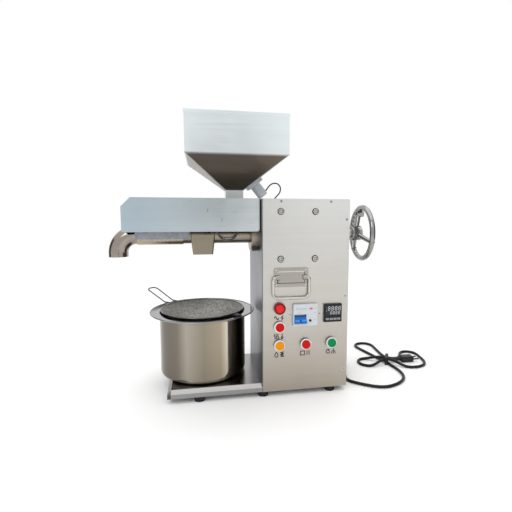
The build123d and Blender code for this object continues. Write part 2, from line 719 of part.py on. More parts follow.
def lamp_lens():
    """Domed lens seated on the bezel's floor."""
    lens = drum(BEZEL_FLOOR, BEZEL_HEIGHT + CAP_PROUD, CAP_RADIUS)
    return fillet(lens.faces().sort_by(Axis.Z)[-1].edges(), CAP_PROUD)


def contact_block():
    """Collar clamped behind the panel and the contact block on it."""
    back = -SHEET - CONTACT_COLLAR
    collar = drum(back, -SHEET, BEZEL_RADIUS)
    body = Box(CONTACT_WIDTH, CONTACT_HEIGHT, CONTACT_DEPTH, align=FROM_BASE)
    hole = drum(-CONTROL_NECK_LENGTH, 0, CONTROL_NECK + SEAT_GAP)
    return collar + Pos(0, 0, back - CONTACT_DEPTH) * body - hole


# Breaker
def breaker_nose(gap, y0, y1):
    """Front part of the breaker, or its window when grown by a gap."""
    half_x = BREAKER_WIDTH / 2 + gap
    half_z = BREAKER_HEIGHT / 2 + gap
    return block(BREAKER_X - half_x, BREAKER_X + half_x, y0, y1, BREAKER_Z - half_z, BREAKER_Z + half_z)


def breaker_body():
    """Moulded case with a nose through the panel, a toggle slot and a test button well."""
    nose = breaker_nose(0, -BREAKER_NOSE, SHEET)
    nose = fillet(nose.faces().sort_by(Axis.Y)[0].edges(), SHEET)
    body = nose + breaker_nose(BREAKER_SHOULDER, SHEET, SHEET + BREAKER_DEPTH)
    half_x = TOGGLE_WIDTH / 2 + SLIDE_GAP
    half_z = TOGGLE_HUB + TOGGLE_SLOT_MARGIN
    body -= block(
        TOGGLE_X - half_x, TOGGLE_X + half_x, -BREAKER_NOSE - 1, TOGGLE_PIVOT_Y + TOGGLE_HUB + SLIDE_GAP,
        TOGGLE_PIVOT_Z - half_z, TOGGLE_PIVOT_Z + half_z,
    )
    body -= rod_y(-BREAKER_NOSE - 1, TEST_HEIGHT - BREAKER_NOSE, TEST_RADIUS + SLIDE_GAP, TEST_X, TEST_Z)
    return body - at_panel_screws(screw_form(SEAT_GAP))


def breaker_toggle():
    """Twin levers on one hub, stored pointing down: switched off."""
    x0, x1 = TOGGLE_X - TOGGLE_WIDTH / 2, TOGGLE_X + TOGGLE_WIDTH / 2
    half = TOGGLE_THICKNESS / 2
    lever = block(x0, x1, -TOGGLE_REACH, 0, -half, half)
    lever = fillet(lever.edges().filter_by(Axis.X).sort_by(Axis.Y)[:2], TOGGLE_EDGE)
    lever -= block(
        TOGGLE_X - TOGGLE_SLIT / 2, TOGGLE_X + TOGGLE_SLIT / 2, -2 * TOGGLE_REACH, -TOGGLE_REACH / 2,
        -TOGGLE_THICKNESS, TOGGLE_THICKNESS,
    )
    lever = Pos(0, TOGGLE_PIVOT_Y, TOGGLE_PIVOT_Z) * Rot(TOGGLE_ANGLE, 0, 0) * lever
    return lever + rod_x(x0, x1, TOGGLE_HUB, TOGGLE_PIVOT_Y, TOGGLE_PIVOT_Z)


def breaker_test_button():
    """Small round push button."""
    front = -BREAKER_NOSE - TEST_PROUD
    return rod_y(front, front + TEST_HEIGHT, TEST_RADIUS, TEST_X, TEST_Z)


# Temperature controller
def controller_square(size, y0, y1):
    """Square block centred on the controller."""
    half = size / 2
    return block(
        CONTROLLER_X - half, CONTROLLER_X + half, y0, y1, CONTROLLER_Z - half, CONTROLLER_Z + half
    )


def key_block(i, gap, y0, y1):
    """Key number i of the row under the window, or its well when grown by a gap."""
    x = CONTROLLER_X + KEY_PITCH * (i - (len(KEY_NAMES) - 1) / 2)
    z = CONTROLLER_Z - KEY_DROP
    half_x = KEY_WIDTH / 2 + gap
    half_z = KEY_HEIGHT / 2 + gap
    return block(x - half_x, x + half_x, y0, y1, z - half_z, z + half_z)


def controller_case():
    """Square front with a sunk window and key wells, and the case behind the panel."""
    front = controller_square(CONTROLLER_SIZE, -CONTROLLER_PROUD, 0)
    front = fillet(front.faces().sort_by(Axis.Y)[0].edges(), SHEET)
    case = front + controller_square(CONTROLLER_CUTOUT - 2 * SLIDE_GAP, 0, CONTROLLER_DEPTH)
    middle = CONTROLLER_Z + WINDOW_RISE
    case -= block(
        CONTROLLER_X - WINDOW_WIDTH / 2, CONTROLLER_X + WINDOW_WIDTH / 2,
        -CONTROLLER_PROUD - 1, -CONTROLLER_PROUD + WINDOW_DEPTH,
        middle - WINDOW_HEIGHT / 2, middle + WINDOW_HEIGHT / 2,
    )
    well = -CONTROLLER_PROUD + KEY_LENGTH + SLIDE_GAP
    return case - [key_block(i, SLIDE_GAP, -CONTROLLER_PROUD - 1, well) for i in range(len(KEY_NAMES))]


def controller_key(i):
    """Key number i."""
    front = -CONTROLLER_PROUD - KEY_PROUD
    return key_block(i, 0, front, front + KEY_LENGTH)


# Worm reducer
def tooth_half(depth):
    """Half the thickness of a rack tooth, at a height above its pitch line."""
    return (math.pi * MODULE / 2 - BACKLASH) / 2 - depth * math.tan(math.radians(PRESSURE_ANGLE))


def worm_wheel():
    """Helical bronze wheel on a hollow hub. Its local axis is Z, with one tooth towards the worm."""
    dedendum = 1.25 * MODULE
    levels = ((-dedendum, -1), (MODULE, -1), (MODULE, 1), (-dedendum, 1))
    outline = []
    for tooth in range(WHEEL_TEETH):
        for depth, side in levels:
            radius = WHEEL_PITCH_RADIUS + depth
            angle = 2 * math.pi * tooth / WHEEL_TEETH + side * tooth_half(depth) / radius
            outline.append((radius * math.cos(angle), radius * math.sin(angle)))
    lead_slope = WORM_LEAD / (2 * math.pi * WORM_PITCH_RADIUS)
    twist = math.degrees(WHEEL_TOOTH_LENGTH * lead_slope / WHEEL_PITCH_RADIUS)
    section = make_face(Polyline(*outline, close=True)).face()
    teeth = Solid.extrude_linear_with_rotation(section, (0, 0, 0), (0, 0, WHEEL_TOOTH_LENGTH), twist)
    wheel = Part() + Pos(0, 0, -WHEEL_TOOTH_LENGTH / 2) * Rot(0, 0, -twist / 2) * teeth
    wheel += Cylinder(HUB_RADIUS, 2 * HOUSING_HALF)
    wheel -= Cylinder(SHAFT_RADIUS + SEAT_GAP, 2 * HOUSING_HALF + 1)
    return Plane(origin=(GEAR_X, AXIS_Y, AXIS_Z), x_dir=(0, 1, 0), z_dir=(1, 0, 0)) * wheel


def helical_rib(section, pitch, height, radius):
    """Sweep a section that lies in XZ along a right-hand helix about Z that starts at z = 0."""
    outline = Plane.XZ * make_face(Polyline(*section, close=True))
    return sweep(outline, path=Helix(pitch, height, radius), is_frenet=True)


def worm_shaft():
    """Worm with its two journals and a hollow lower end for the motor's spigot."""
    core = WORM_PITCH_RADIUS - 1.25 * MODULE
    sunk = core - MODULE / 4
    tip = WORM_PITCH_RADIUS + MODULE
    low, high = tooth_half(sunk - WORM_PITCH_RADIUS), tooth_half(MODULE)
    section = [(sunk, -low), (tip, -high), (tip, high), (sunk, low)]
    rib = helical_rib(section, WORM_LEAD, WORM_LENGTH, WORM_PITCH_RADIUS)
    half = WORM_LENGTH / 2
    worm = drum(-half - WORM_LEAD / 2, half + WORM_LEAD / 2, core)
    for start in range(WORM_STARTS):
        worm += Rot(0, 0, 360 * start / WORM_STARTS) * Pos(0, 0, -half) * rib
    foot = WORM_END_GAP - WORM_TUBE_DROP
    worm += drum(foot, -half - WORM_LEAD / 2, WORM_JOURNAL)
    worm += drum(half + WORM_LEAD / 2, WORM_TUBE_RISE - HOUSING_WALL, WORM_JOURNAL)
    worm -= drum(foot - 1, MOTOR_SPIGOT_LENGTH - WORM_TUBE_DROP, MOTOR_SPIGOT + SEAT_GAP)
    return Pos(GEAR_X, WORM_Y, AXIS_Z) * worm


def gearbox_housing():
    """Cast housing: foot, wheel chamber open on the right, worm tube with a motor flange."""
    half_x = BOLT_PITCH_X / 2 + FOOT_PLATE_MARGIN
    half_z = BOLT_PITCH_Z / 2 + FOOT_PLATE_MARGIN
    web_y = SHEET + FOOT_PLATE
    foot = block(GEAR_X - half_x, GEAR_X + half_x, SHEET, web_y, AXIS_Z - half_z, AXIS_Z + half_z)
    foot = fillet(foot.edges().filter_by(Axis.Y), FOOT_PLATE_MARGIN)
    web_x, web_z = BOLT_PITCH_X / 2 - FOOT_PLATE_MARGIN, BOLT_PITCH_Z / 2 - FOOT_PLATE_MARGIN
    body = foot + block(
        GEAR_X - web_x, GEAR_X + web_x, web_y, AXIS_Y, AXIS_Z - web_z, AXIS_Z + web_z
    )
    body += rod_x(HOUSING_LEFT, HOUSING_RIGHT, CHAMBER_RADIUS + HOUSING_WALL)
    body += rod_z(MOTOR_TOP, AXIS_Z + WORM_TUBE_RISE, WORM_TUBE_RADIUS, GEAR_X, WORM_Y)
    body += rod_z(MOTOR_TOP, MOTOR_TOP + MOTOR_FLANGE, MOTOR_FLANGE_RADIUS, GEAR_X, WORM_Y)
    body -= rod_x(GEAR_X - CHAMBER_HALF, HOUSING_RIGHT + 1, CHAMBER_RADIUS)
    body -= rod_x(HOUSING_LEFT - 1, GEAR_X, HUB_RADIUS + HOUSING_WALL / 2)
    body -= rod_x(HOUSING_LEFT - 1, HOUSING_LEFT + BEARING_WIDTH, WHEEL_BEARING_RADIUS)
    worm_room = WORM_PITCH_RADIUS + MODULE + WORM_ROOM
    top_seat = AXIS_Z + WORM_TUBE_RISE - HOUSING_WALL
    body -= rod_z(MOTOR_TOP - 1, top_seat - BEARING_WIDTH, worm_room, GEAR_X, WORM_Y)
    body -= rod_z(top_seat - BEARING_WIDTH, top_seat, WORM_BEARING_RADIUS, GEAR_X, WORM_Y)
    body -= rod_z(MOTOR_TOP - 1, MOTOR_TOP + WORM_SEAT_DEPTH, WORM_BEARING_RADIUS, GEAR_X, WORM_Y)
    return body - [rod_y(0, BOLT_LENGTH + 1, BOLT_RADIUS + SEAT_GAP, *spot) for spot in bolt_spots()]


def gearbox_cover():
    """Round cover that closes the wheel chamber and seats the right bearing."""
    inner = GEAR_X + CHAMBER_HALF
    flange = HOUSING_RIGHT + HOUSING_WALL / 2
    cover = rod_x(inner, HOUSING_RIGHT, CHAMBER_RADIUS - SEAT_GAP)
    cover += rod_x(HOUSING_RIGHT, flange, CHAMBER_RADIUS + HOUSING_WALL / 2)
    cover -= rod_x(inner - 1, flange + 1, HUB_RADIUS + HOUSING_WALL / 2)
    return cover - rod_x(HOUSING_RIGHT - BEARING_WIDTH, HOUSING_RIGHT, WHEEL_BEARING_RADIUS)


def ring_x(x0, x1, inner, outer):
    """Ring on the drive axis."""
    return rod_x(x0, x1, outer) - rod_x(x0 - 1, x1 + 1, inner)


def gearbox_bearings():
    """Two bearings of the wheel and two of the worm."""
    inner, outer = HUB_RADIUS + RUN_GAP, WHEEL_BEARING_RADIUS - SEAT_GAP
    seats = (HOUSING_LEFT, HOUSING_RIGHT - BEARING_WIDTH)
    wheel = [ring_x(x, x + BEARING_WIDTH, inner, outer) for x in seats]
    ring = Cylinder(WORM_BEARING_RADIUS - SEAT_GAP, BEARING_WIDTH, align=FROM_BASE)
    ring -= Cylinder(WORM_JOURNAL + RUN_GAP, 3 * BEARING_WIDTH)
    upper = AXIS_Z + WORM_TUBE_RISE - HOUSING_WALL - BEARING_WIDTH
    lower = MOTOR_TOP + WORM_SEAT_DEPTH - BEARING_WIDTH
    return wheel + [Pos(GEAR_X, WORM_Y, z) * ring for z in (upper, lower)]


def gearbox_bolts():
    """Socket-head bolts through the front panel into the reducer's foot."""
    head = drum(0, BOLT_HEAD_HEIGHT, BOLT_HEAD_RADIUS)
    head = fillet(head.faces().sort_by(Axis.Z)[-1].edges(), BOLT_EDGE)
    socket = extrude(RegularPolygon(BOLT_SOCKET / 2, 6, major_radius=False), BOLT_HEAD_HEIGHT)
    bolt = head - Pos(0, 0, BOLT_SOCKET_FLOOR) * socket + drum(-BOLT_LENGTH, 0, BOLT_RADIUS)
    return [on_front(spot) * bolt for spot in bolt_spots()]


def output_flange():
    """Spacer between the cabinet's side and the reducer that holds the barrel's tail."""
    flange = rod_x(SHEET, HOUSING_LEFT, COLLAR_RADIUS)
    flange -= rod_x(0, BARREL_TAIL, BARREL_RADIUS + SEAT_GAP)
    return flange - rod_x(0, 2 * HOUSING_LEFT, COUPLING_RADIUS + COUPLING_ROOM)


# Motor
def motor_housing():
    """Frame with both end bells and the stator pressed into it."""
    frame = rod_z(MOTOR_BOTTOM, MOTOR_TOP, MOTOR_RADIUS, GEAR_X, WORM_Y)
    inside = MOTOR_RADIUS - MOTOR_WALL
    frame -= rod_z(MOTOR_BOTTOM + MOTOR_BELL, MOTOR_TOP - MOTOR_BELL, inside, GEAR_X, WORM_Y)
    half = STATOR_LENGTH / 2
    stator = rod_z(STATOR_CENTRE - half, STATOR_CENTRE + half, inside, GEAR_X, WORM_Y)
    frame += stator - rod_z(MOTOR_BOTTOM, MOTOR_TOP, STATOR_BORE, GEAR_X, WORM_Y)
    return frame - rod_z(MOTOR_BOTTOM - 1, MOTOR_TOP + 1, MOTOR_SHAFT + RUN_GAP, GEAR_X, WORM_Y)


def motor_rotor():
    """Rotor core on its shaft, with a spigot up into the worm and a tail for the fan."""
    half = STATOR_LENGTH / 2
    rotor = rod_z(STATOR_CENTRE - half, STATOR_CENTRE + half, STATOR_BORE - ROTOR_AIR_GAP, GEAR_X, WORM_Y)
    rotor += rod_z(MOTOR_BOTTOM - FAN_CLEARANCE - FAN_HEIGHT, MOTOR_TOP, MOTOR_SHAFT, GEAR_X, WORM_Y)
    return rotor + rod_z(MOTOR_TOP, MOTOR_TOP + MOTOR_SPIGOT_LENGTH, MOTOR_SPIGOT, GEAR_X, WORM_Y)


def motor_fan():
    """Radial fan pushed on the shaft's lower end."""
    hub = drum(0, FAN_HEIGHT, FAN_HUB)
    disc = drum(FAN_HEIGHT - SHEET * 2, FAN_HEIGHT, FAN_RADIUS)
    blade = block(FAN_BLADE_ROOT, FAN_RADIUS, -SHEET / 2, SHEET / 2, 0, FAN_HEIGHT - SHEET)
    fan = hub + disc + [Rot(0, 0, 360 * i / FAN_BLADES) * blade for i in range(FAN_BLADES)]
    fan -= drum(-1, FAN_HEIGHT + 1, MOTOR_SHAFT + SEAT_GAP)
    return Pos(GEAR_X, WORM_Y, MOTOR_BOTTOM - FAN_CLEARANCE - FAN_HEIGHT) * fan


def run_capacitor():
    """Motor capacitor standing on the cabinet's floor."""
    can = rod_z(TRAY_TOP, TRAY_TOP + CAPACITOR_HEIGHT, CAPACITOR_RADIUS, CAPACITOR_X, CAPACITOR_Y)
    return fillet(can.faces().sort_by(Axis.Z)[-1].edges(), SHEET * 2)


# Shaft and handwheel
def main_shaft():
    """Shaft through the hollow wheel: square socket for the press screw, tail for the handwheel."""
    shaft = turned_x([
        (COUPLING_LEFT, 0), (COUPLING_LEFT, COUPLING_RADIUS), (HOUSING_LEFT, COUPLING_RADIUS),
        (HOUSING_LEFT, SHAFT_RADIUS), (HOUSING_RIGHT, SHAFT_RADIUS), (HOUSING_RIGHT, SHAFT_TAIL_RADIUS),
        (WHEEL_HUB_RIGHT, SHAFT_TAIL_RADIUS), (WHEEL_HUB_RIGHT, 0),
    ])
    half = TANG_SIZE / 2 + RUN_GAP
    depth = SCREW_SHANK_RIGHT + TANG_LENGTH + 1
    return shaft - block(COUPLING_LEFT - 1, depth, AXIS_Y - half, AXIS_Y + half, AXIS_Z - half, AXIS_Z + half)


def handwheel():
    """Dished three-spoke handwheel with finger grips. Its local Z runs along the shaft."""
    centre = (HANDWHEEL_RADIUS, 0)
    section = make_face([CenterArc(centre, RIM_RADIUS, start, 180) for start in (-90, 90)])
    rim = Rot(0, 0, RIM_OPENING / 2) * revolve(Plane.XZ * section, Axis.Z, 360 - RIM_OPENING)
    grip_orbit = HANDWHEEL_RADIUS - RIM_RADIUS - FINGER_GRIP_RADIUS + FINGER_GRIP_DEPTH
    notch = Pos(grip_orbit, 0, 0) * Cylinder(FINGER_GRIP_RADIUS, 4 * RIM_RADIUS)
    step = 360 / FINGER_GRIPS
    rim -= [Rot(0, 0, step * (i + 0.5)) * notch for i in range(FINGER_GRIPS)]
    rim = Rot(0, 0, SPOKE_ANGLES[0]) * rim
    hub_top = -WHEEL_DISH
    hub = drum(hub_top - WHEEL_HUB_LENGTH, hub_top, WHEEL_HUB_RADIUS)
    wheel = rim + fillet(hub.edges().filter_by(GeomType.CIRCLE), SHEET)
    root = Vector(0, 0, hub_top - WHEEL_HUB_LENGTH / 2)
    tip = Vector(HANDWHEEL_RADIUS, 0, 0)
    spoke_plane = Plane(origin=root, z_dir=tip - root)
    spoke = spoke_plane * Cone(SPOKE_ROOT, SPOKE_TIP, (tip - root).length, align=FROM_BASE)
    spoke_end = Pos(HANDWHEEL_RADIUS, 0, 0) * Sphere(SPOKE_END)
    wheel += [Rot(0, 0, angle) * piece for angle in SPOKE_ANGLES for piece in (spoke, spoke_end)]
    boss_spot = Rot(0, 0, SPOKE_ANGLES[0]) * Pos(GRIP_BOSS_ORBIT, 0, 0)
    wheel += boss_spot * drum(-RIM_RADIUS - SPOKE_TIP, RIM_RADIUS, GRIP_BOSS_RADIUS)
    wheel -= boss_spot * drum(-3 * RIM_RADIUS, 2 * RIM_RADIUS, GRIP_HOLE)
    wheel -= drum(-4 * WHEEL_HUB_LENGTH, hub_top + 1, SHAFT_TAIL_RADIUS + SEAT_GAP)
    return Plane(origin=(HANDWHEEL_X, AXIS_Y, AXIS_Z), x_dir=(0, 1, 0), z_dir=(1, 0, 0)) * wheel


# Press
def screw_core(x):
    """Radius of the press screw's tapered core at x."""
    share = (x - FLIGHT_LEFT) / (FLIGHT_RIGHT - FLIGHT_LEFT)
    return SCREW_END_CORE + share * (SCREW_FEED_CORE - SCREW_END_CORE)


def press_screw():
    """Worm of the press: core that swells towards the cake outlet, one flight, shank and square tang."""
    shank = BARREL_BORE - RUN_GAP
    screw = turned_x([
        (SCREW_LEFT, 0), (SCREW_LEFT, SCREW_TIP_RADIUS), (FLIGHT_LEFT, screw_core(FLIGHT_LEFT)),
        (FLIGHT_RIGHT, screw_core(FLIGHT_RIGHT)), (FLIGHT_RIGHT + FLIGHT_TIP, shank),
        (SCREW_SHANK_RIGHT, shank), (SCREW_SHANK_RIGHT, 0),
    ])
    sunk = SCREW_FEED_CORE - 1
    tip = BARREL_BORE - FLIGHT_CLEARANCE
    root, crest = FLIGHT_ROOT / 2, FLIGHT_TIP / 2
    section = [(sunk, -root), (tip, -crest), (tip, crest), (sunk, root)]
    rib = helical_rib(section, PRESS_SCREW_PITCH, FLIGHT_RIGHT - FLIGHT_LEFT, BARREL_BORE)
    screw += Plane(origin=(FLIGHT_LEFT, AXIS_Y, AXIS_Z), x_dir=(0, 1, 0), z_dir=(1, 0, 0)) * rib
    half = TANG_SIZE / 2
    tang = block(
        SCREW_SHANK_RIGHT, SCREW_SHANK_RIGHT + TANG_LENGTH, AXIS_Y - half, AXIS_Y + half,
        AXIS_Z - half, AXIS_Z + half,
    )
    return screw + tang


def press_barrel():
    """Pressing tube: feed opening on top, oil slots below, seat for the choke ring at the left."""
    barrel = ring_x(BARREL_LEFT, BARREL_TAIL, BARREL_BORE, BARREL_RADIUS)
    barrel -= rod_x(BARREL_LEFT - 1, BARREL_LEFT + CHOKE_LENGTH, CHOKE_RADIUS)
    mouth = NECK_WIDTH / 2 - 2 * SHEET
    barrel -= block(
        FEED_X - mouth, FEED_X + mouth, AXIS_Y - BARREL_BORE + SHEET, AXIS_Y + BARREL_BORE - SHEET,
        AXIS_Z, AXIS_Z + BARREL_RADIUS,
    )
    half = CHUTE_FOOT_WIDTH / 2
    slot = block(-half, half, -OIL_SLOT_WIDTH / 2, OIL_SLOT_WIDTH / 2, -BARREL_RADIUS - 1, 0)
    fan = 180 / (OIL_SLOTS + 1)
    turns = [fan * (i - (OIL_SLOTS - 1) / 2) for i in range(OIL_SLOTS)]
    return barrel - [Pos(CHUTE_X, AXIS_Y, AXIS_Z) * Rot(turn, 0, 0) * slot for turn in turns]


def choke_ring():
    """Tapered ring at the end of the barrel that the cake is squeezed through."""
    right = BARREL_LEFT + CHOKE_LENGTH
    outer = CHOKE_RADIUS - SEAT_GAP
    return turned_x([
        (BARREL_LEFT, SCREW_TIP_RADIUS + 2 * CHOKE_GAP), (BARREL_LEFT, outer), (right, outer),
        (right, SCREW_END_CORE + CHOKE_GAP),
    ])


def cake_elbow():
    """Bent spout that turns the cake down."""
    annulus = Circle(BARREL_RADIUS) - Circle(BARREL_RADIUS - ELBOW_WALL)
    start = Plane(origin=(BARREL_LEFT, AXIS_Y, AXIS_Z), z_dir=(1, 0, 0))
    pivot = Axis((BARREL_LEFT, AXIS_Y, AXIS_Z - ELBOW_BEND), (0, -1, 0))
    bend = revolve(start * annulus, pivot, revolution_arc=90)
    foot = Plane(origin=(BARREL_LEFT - ELBOW_BEND, AXIS_Y, AXIS_Z - ELBOW_BEND), z_dir=(0, 0, -1))
    return bend + extrude(foot * annulus, ELBOW_LEG)


def heater_band():
    """Split heater band round the barrel, with its terminal block on top."""
    right = BAND_LEFT + BAND_LENGTH
    outer = BARREL_RADIUS + BAND_THICKNESS
    band = rod_x(BAND_LEFT, right, outer)
    top = AXIS_Z + outer
    half = TERMINAL_WIDTH / 2
    band += block(
        right - 1.5 * TERMINAL_LENGTH, right - TERMINAL_LENGTH / 2, AXIS_Y - half, AXIS_Y + half,
        AXIS_Z, top + TERMINAL_HEIGHT,
    )
    band -= rod_x(BAND_LEFT - 1, right + 1, BARREL_RADIUS + SEAT_GAP)
    return band - block(BAND_LEFT - 1, right + 1, AXIS_Y, AXIS_Y + 2 * outer, AXIS_Z, AXIS_Z + BAND_SPLIT)


def barrel_collar():
    """Clamp collar that holds the barrel against the cabinet's side."""
    collar = ring_x(-COLLAR_WIDTH, 0, BARREL_RADIUS + SEAT_GAP, COLLAR_RADIUS)
    return chamfer(collar.faces().sort_by(Axis.X)[0].edges().sort_by(SortBy.LENGTH)[-1:], SHEET * 2)


def chute_form(inset):
    """Tapered block of the chute, made smaller all round for its inside."""
    top = Pos(CHUTE_X, AXIS_Y, AXIS_Z) * RectangleRounded(
        CHUTE_TOP_WIDTH - 2 * inset, CHUTE_TOP_DEPTH - 2 * inset, CHUTE_CORNER - inset
    )
    foot = Pos(CHUTE_X, AXIS_Y, AXIS_Z - CHUTE_HEIGHT) * RectangleRounded(
        CHUTE_FOOT_WIDTH - 2 * inset, CHUTE_FOOT_DEPTH - 2 * inset, CHUTE_CORNER - inset
    )
    return loft([foot, top])


def oil_chute():
    """Open chute under the oil slots that cradles the barrel."""
    chute = chute_form(0) - chute_form(SHEET)
    return chute - rod_x(2 * CHUTE_X, 0, BARREL_RADIUS + SEAT_GAP)


def cover_form(inset, x1, z0):
    """Side view of the cover drawn out over its depth, made smaller for its inside."""
    bevel = COVER_CHAMFER - inset * (2 - math.sqrt(2))
    left, top = COVER_LEFT + inset, COVER_TOP - inset
    outline = [(left, z0), (x1, z0), (x1, top), (left + bevel, top), (left, top - bevel)]
    side = Plane(origin=(0, COVER_BACK - inset, 0), x_dir=(1, 0, 0), z_dir=(0, -1, 0))
    return extrude(side * make_face(Polyline(*outline, close=True)), COVER_DEPTH - 2 * inset)


def press_cover():
    """Folded cover over the barrel, open below and towards the cabinet."""
    cover = cover_form(0, -COVER_GAP, COVER_BOTTOM) - cover_form(SHEET, 0, COVER_BOTTOM - 1)
    corners = cover.edges().filter_by(Axis.Y).group_by(Axis.Z)[0].group_by(Axis.X)[-1]
    cover = fillet(corners, COVER_CORNER)
    notch = BARREL_RADIUS + COVER_NOTCH_GAP
    wall = (COVER_LEFT - 1, COVER_LEFT + 2 * SHEET)
    cover -= rod_x(*wall, notch)
    cover -= block(*wall, AXIS_Y - notch, AXIS_Y + notch, AXIS_Z, COVER_BOTTOM + 1)
    half = NECK_WIDTH / 2 + SLIDE_GAP
    return cover - block(
        FEED_X - half, FEED_X + half, AXIS_Y - half, AXIS_Y + half, COVER_CEILING - 1, COVER_TOP + 1
    )


def heat_shield():
    """Flanged plate that hangs from the cover in front of the heater."""
    right = SHIELD_LEFT + SHIELD_LENGTH
    y = AXIS_Y - SHIELD_SETBACK
    plate = block(SHIELD_LEFT, right, y - SHIELD_SHEET, y, SHIELD_BOTTOM, COVER_CEILING)
    low = COVER_CEILING - SHIELD_SHEET
    return plate + block(SHIELD_LEFT, right, y, y + SHIELD_FLANGE, low, COVER_CEILING)


def square_post(width, z0, z1):
    """Square block on the feed axis."""
    return Pos(FEED_X, AXIS_Y, z0) * Box(width, width, z1 - z0, align=FROM_BASE)


def feed_neck():
    """Square feed tube saddled on the barrel, with a plate that carries the cover."""
    neck = square_post(NECK_WIDTH, AXIS_Z, NECK_TOP)
    neck += square_post(NECK_PLATE, COVER_CEILING - SHEET, COVER_CEILING)
    neck -= square_post(NECK_WIDTH - 2 * SHEET, AXIS_Z - 1, NECK_TOP + 1)
    return neck - rod_x(2 * FEED_X, 0, BARREL_RADIUS + SEAT_GAP)


def hopper_form(inset, extra):
    """Hopper's square funnel and upright walls, made smaller for its inside and drawn on upwards."""
    mouth = NECK_TOP + HOPPER_SLOPE
    small = Pos(FEED_X, AXIS_Y, NECK_TOP) * Rectangle(NECK_WIDTH - 2 * inset, NECK_WIDTH - 2 * inset)
    large = Pos(FEED_X, AXIS_Y, mouth) * Rectangle(HOPPER_WIDTH - 2 * inset, HOPPER_WIDTH - 2 * inset)
    return loft([small, large]) + square_post(HOPPER_WIDTH - 2 * inset, mouth, mouth + HOPPER_WALL + extra)


def hopper():
    """Sheet hopper with a folded hem round its mouth."""
    top = NECK_TOP + HOPPER_SLOPE + HOPPER_WALL
    body = hopper_form(0, 0) + square_post(HOPPER_WIDTH + 2 * SHEET, top - HOPPER_HEM, top)
    return body - hopper_form(HOPPER_SHEET, 1)


# Vibrator on the hopper's slope
def vibrator_plane():
    """Plane on the right slope: local X up the slope, local Z out of it."""
    up = (SLOPE_RUN / SLOPE_LENGTH, 0, HOPPER_SLOPE / SLOPE_LENGTH)
    out = (HOPPER_SLOPE / SLOPE_LENGTH, 0, -SLOPE_RUN / SLOPE_LENGTH)
    foot = Vector(FEED_X + NECK_WIDTH / 2, AXIS_Y, NECK_TOP)
    return Plane(origin=foot + Vector(*up) * VIBRATOR_UP_SLOPE, x_dir=up, z_dir=out)


def vibrator_flange():
    """Clamp plate screwed to the slope."""
    outline = RectangleRounded(VIBRATOR_PLATE, VIBRATOR_PLATE, CHUTE_CORNER)
    plate = extrude(outline, VIBRATOR_PLATE_THICKNESS)
    plate = chamfer(plate.faces().sort_by(Axis.Z)[-1].edges(), SHEET)
    return vibrator_plane() * plate


def vibrator_can():
    """Closed can of the vibrator."""
    can = drum(VIBRATOR_PLATE_THICKNESS, VIBRATOR_PLATE_THICKNESS + VIBRATOR_LENGTH, VIBRATOR_RADIUS)
    return vibrator_plane() * fillet(can.faces().sort_by(Axis.Z)[-1].edges(), SHEET * 2)


def vibrator_lead():
    """Lead that loops from the can into the cabinet's top."""
    spot = Vector(VIBRATOR_RADIUS + LEAD_STANDOFF, 0, VIBRATOR_PLATE_THICKNESS + LEAD_EXIT)
    leave = vibrator_plane().from_local_coords(spot)
    route = [tuple(leave)] + [(x, AXIS_Y + y, CABINET_TOP + z) for x, y, z in VIBRATOR_LEAD_ROUTE]
    return tube(route, cord_radii(route), LEAD_RADIUS)


def vibrator_lead_hole():
    """Hole in the cabinet's top for the vibrator's lead."""
    x, y, _ = VIBRATOR_LEAD_ROUTE[-1]
    return rod_z(PANEL_TOP - 1, CABINET_TOP + 1, LEAD_RADIUS + LEAD_HOLE_GAP, x, AXIS_Y + y)


def heater_lead():
    """Lead from the heater's terminals, in a loop below the cover, into the cabinet's side."""
    _, y, z = HEATER_LEAD_ROUTE[0]
    start = (BAND_LEFT + BAND_LENGTH - TERMINAL_LENGTH / 2, AXIS_Y + y, AXIS_Z + z)
    route = [start] + [(x, AXIS_Y + y, AXIS_Z + z) for x, y, z in HEATER_LEAD_ROUTE]
    return tube(route, cord_radii(route), HEATER_LEAD_RADIUS)


def lead_hole():
    """Hole in the cabinet's left side for the heater lead."""
    _, y, z = HEATER_LEAD_ROUTE[-1]
    return rod_x(-1, BEND_RADIUS, HEATER_LEAD_RADIUS + SLIDE_GAP, AXIS_Y + y, AXIS_Z + z)


# Pot and strainer
def pot():
    """Deep drawn pot with a flat brim and a rolled edge."""
    inner = POT_RADIUS - POT_WALL
    outline = FilletPolyline(
        (0, 0), (POT_RADIUS, 0), (POT_RADIUS, POT_HEIGHT - POT_WALL), (POT_BRIM, POT_HEIGHT - POT_WALL),
        (POT_BRIM, POT_HEIGHT), (inner, POT_HEIGHT), (inner, POT_WALL), (0, POT_WALL),
        radius=[0, POT_CORNER, POT_WALL, 0, 0, 2 * POT_WALL, POT_CORNER - POT_WALL, 0],
        close=True,
    )
    body = revolve(Plane.XZ * make_face(outline), Axis.Z)
    body += Pos(0, 0, POT_HEIGHT) * Torus(POT_BRIM, BRIM_BEAD)
    return Pos(POT_X, POT_Y, TRAY_TOP) * body


def strainer_mesh():
    """Bowl of fine mesh, drawn as a thin dished shell."""
    sphere = (STRAINER_RADIUS**2 + STRAINER_DEPTH**2) / (2 * STRAINER_DEPTH)
    centre = sphere - STRAINER_DEPTH
    arcs = []
    for radius in (sphere, sphere - STRAINER_MESH):
        sweep_angle = math.degrees(math.acos(centre / radius))
        arcs.append(CenterArc((0, centre), radius, -90, sweep_angle))
    outer, inner = arcs
    section = make_face([outer, Line(outer @ 1, inner @ 1), inner, Line(inner @ 0, outer @ 0)])
    return Pos(POT_X, POT_Y, STRAINER_Z) * revolve(Plane.XZ * section, Axis.Z)


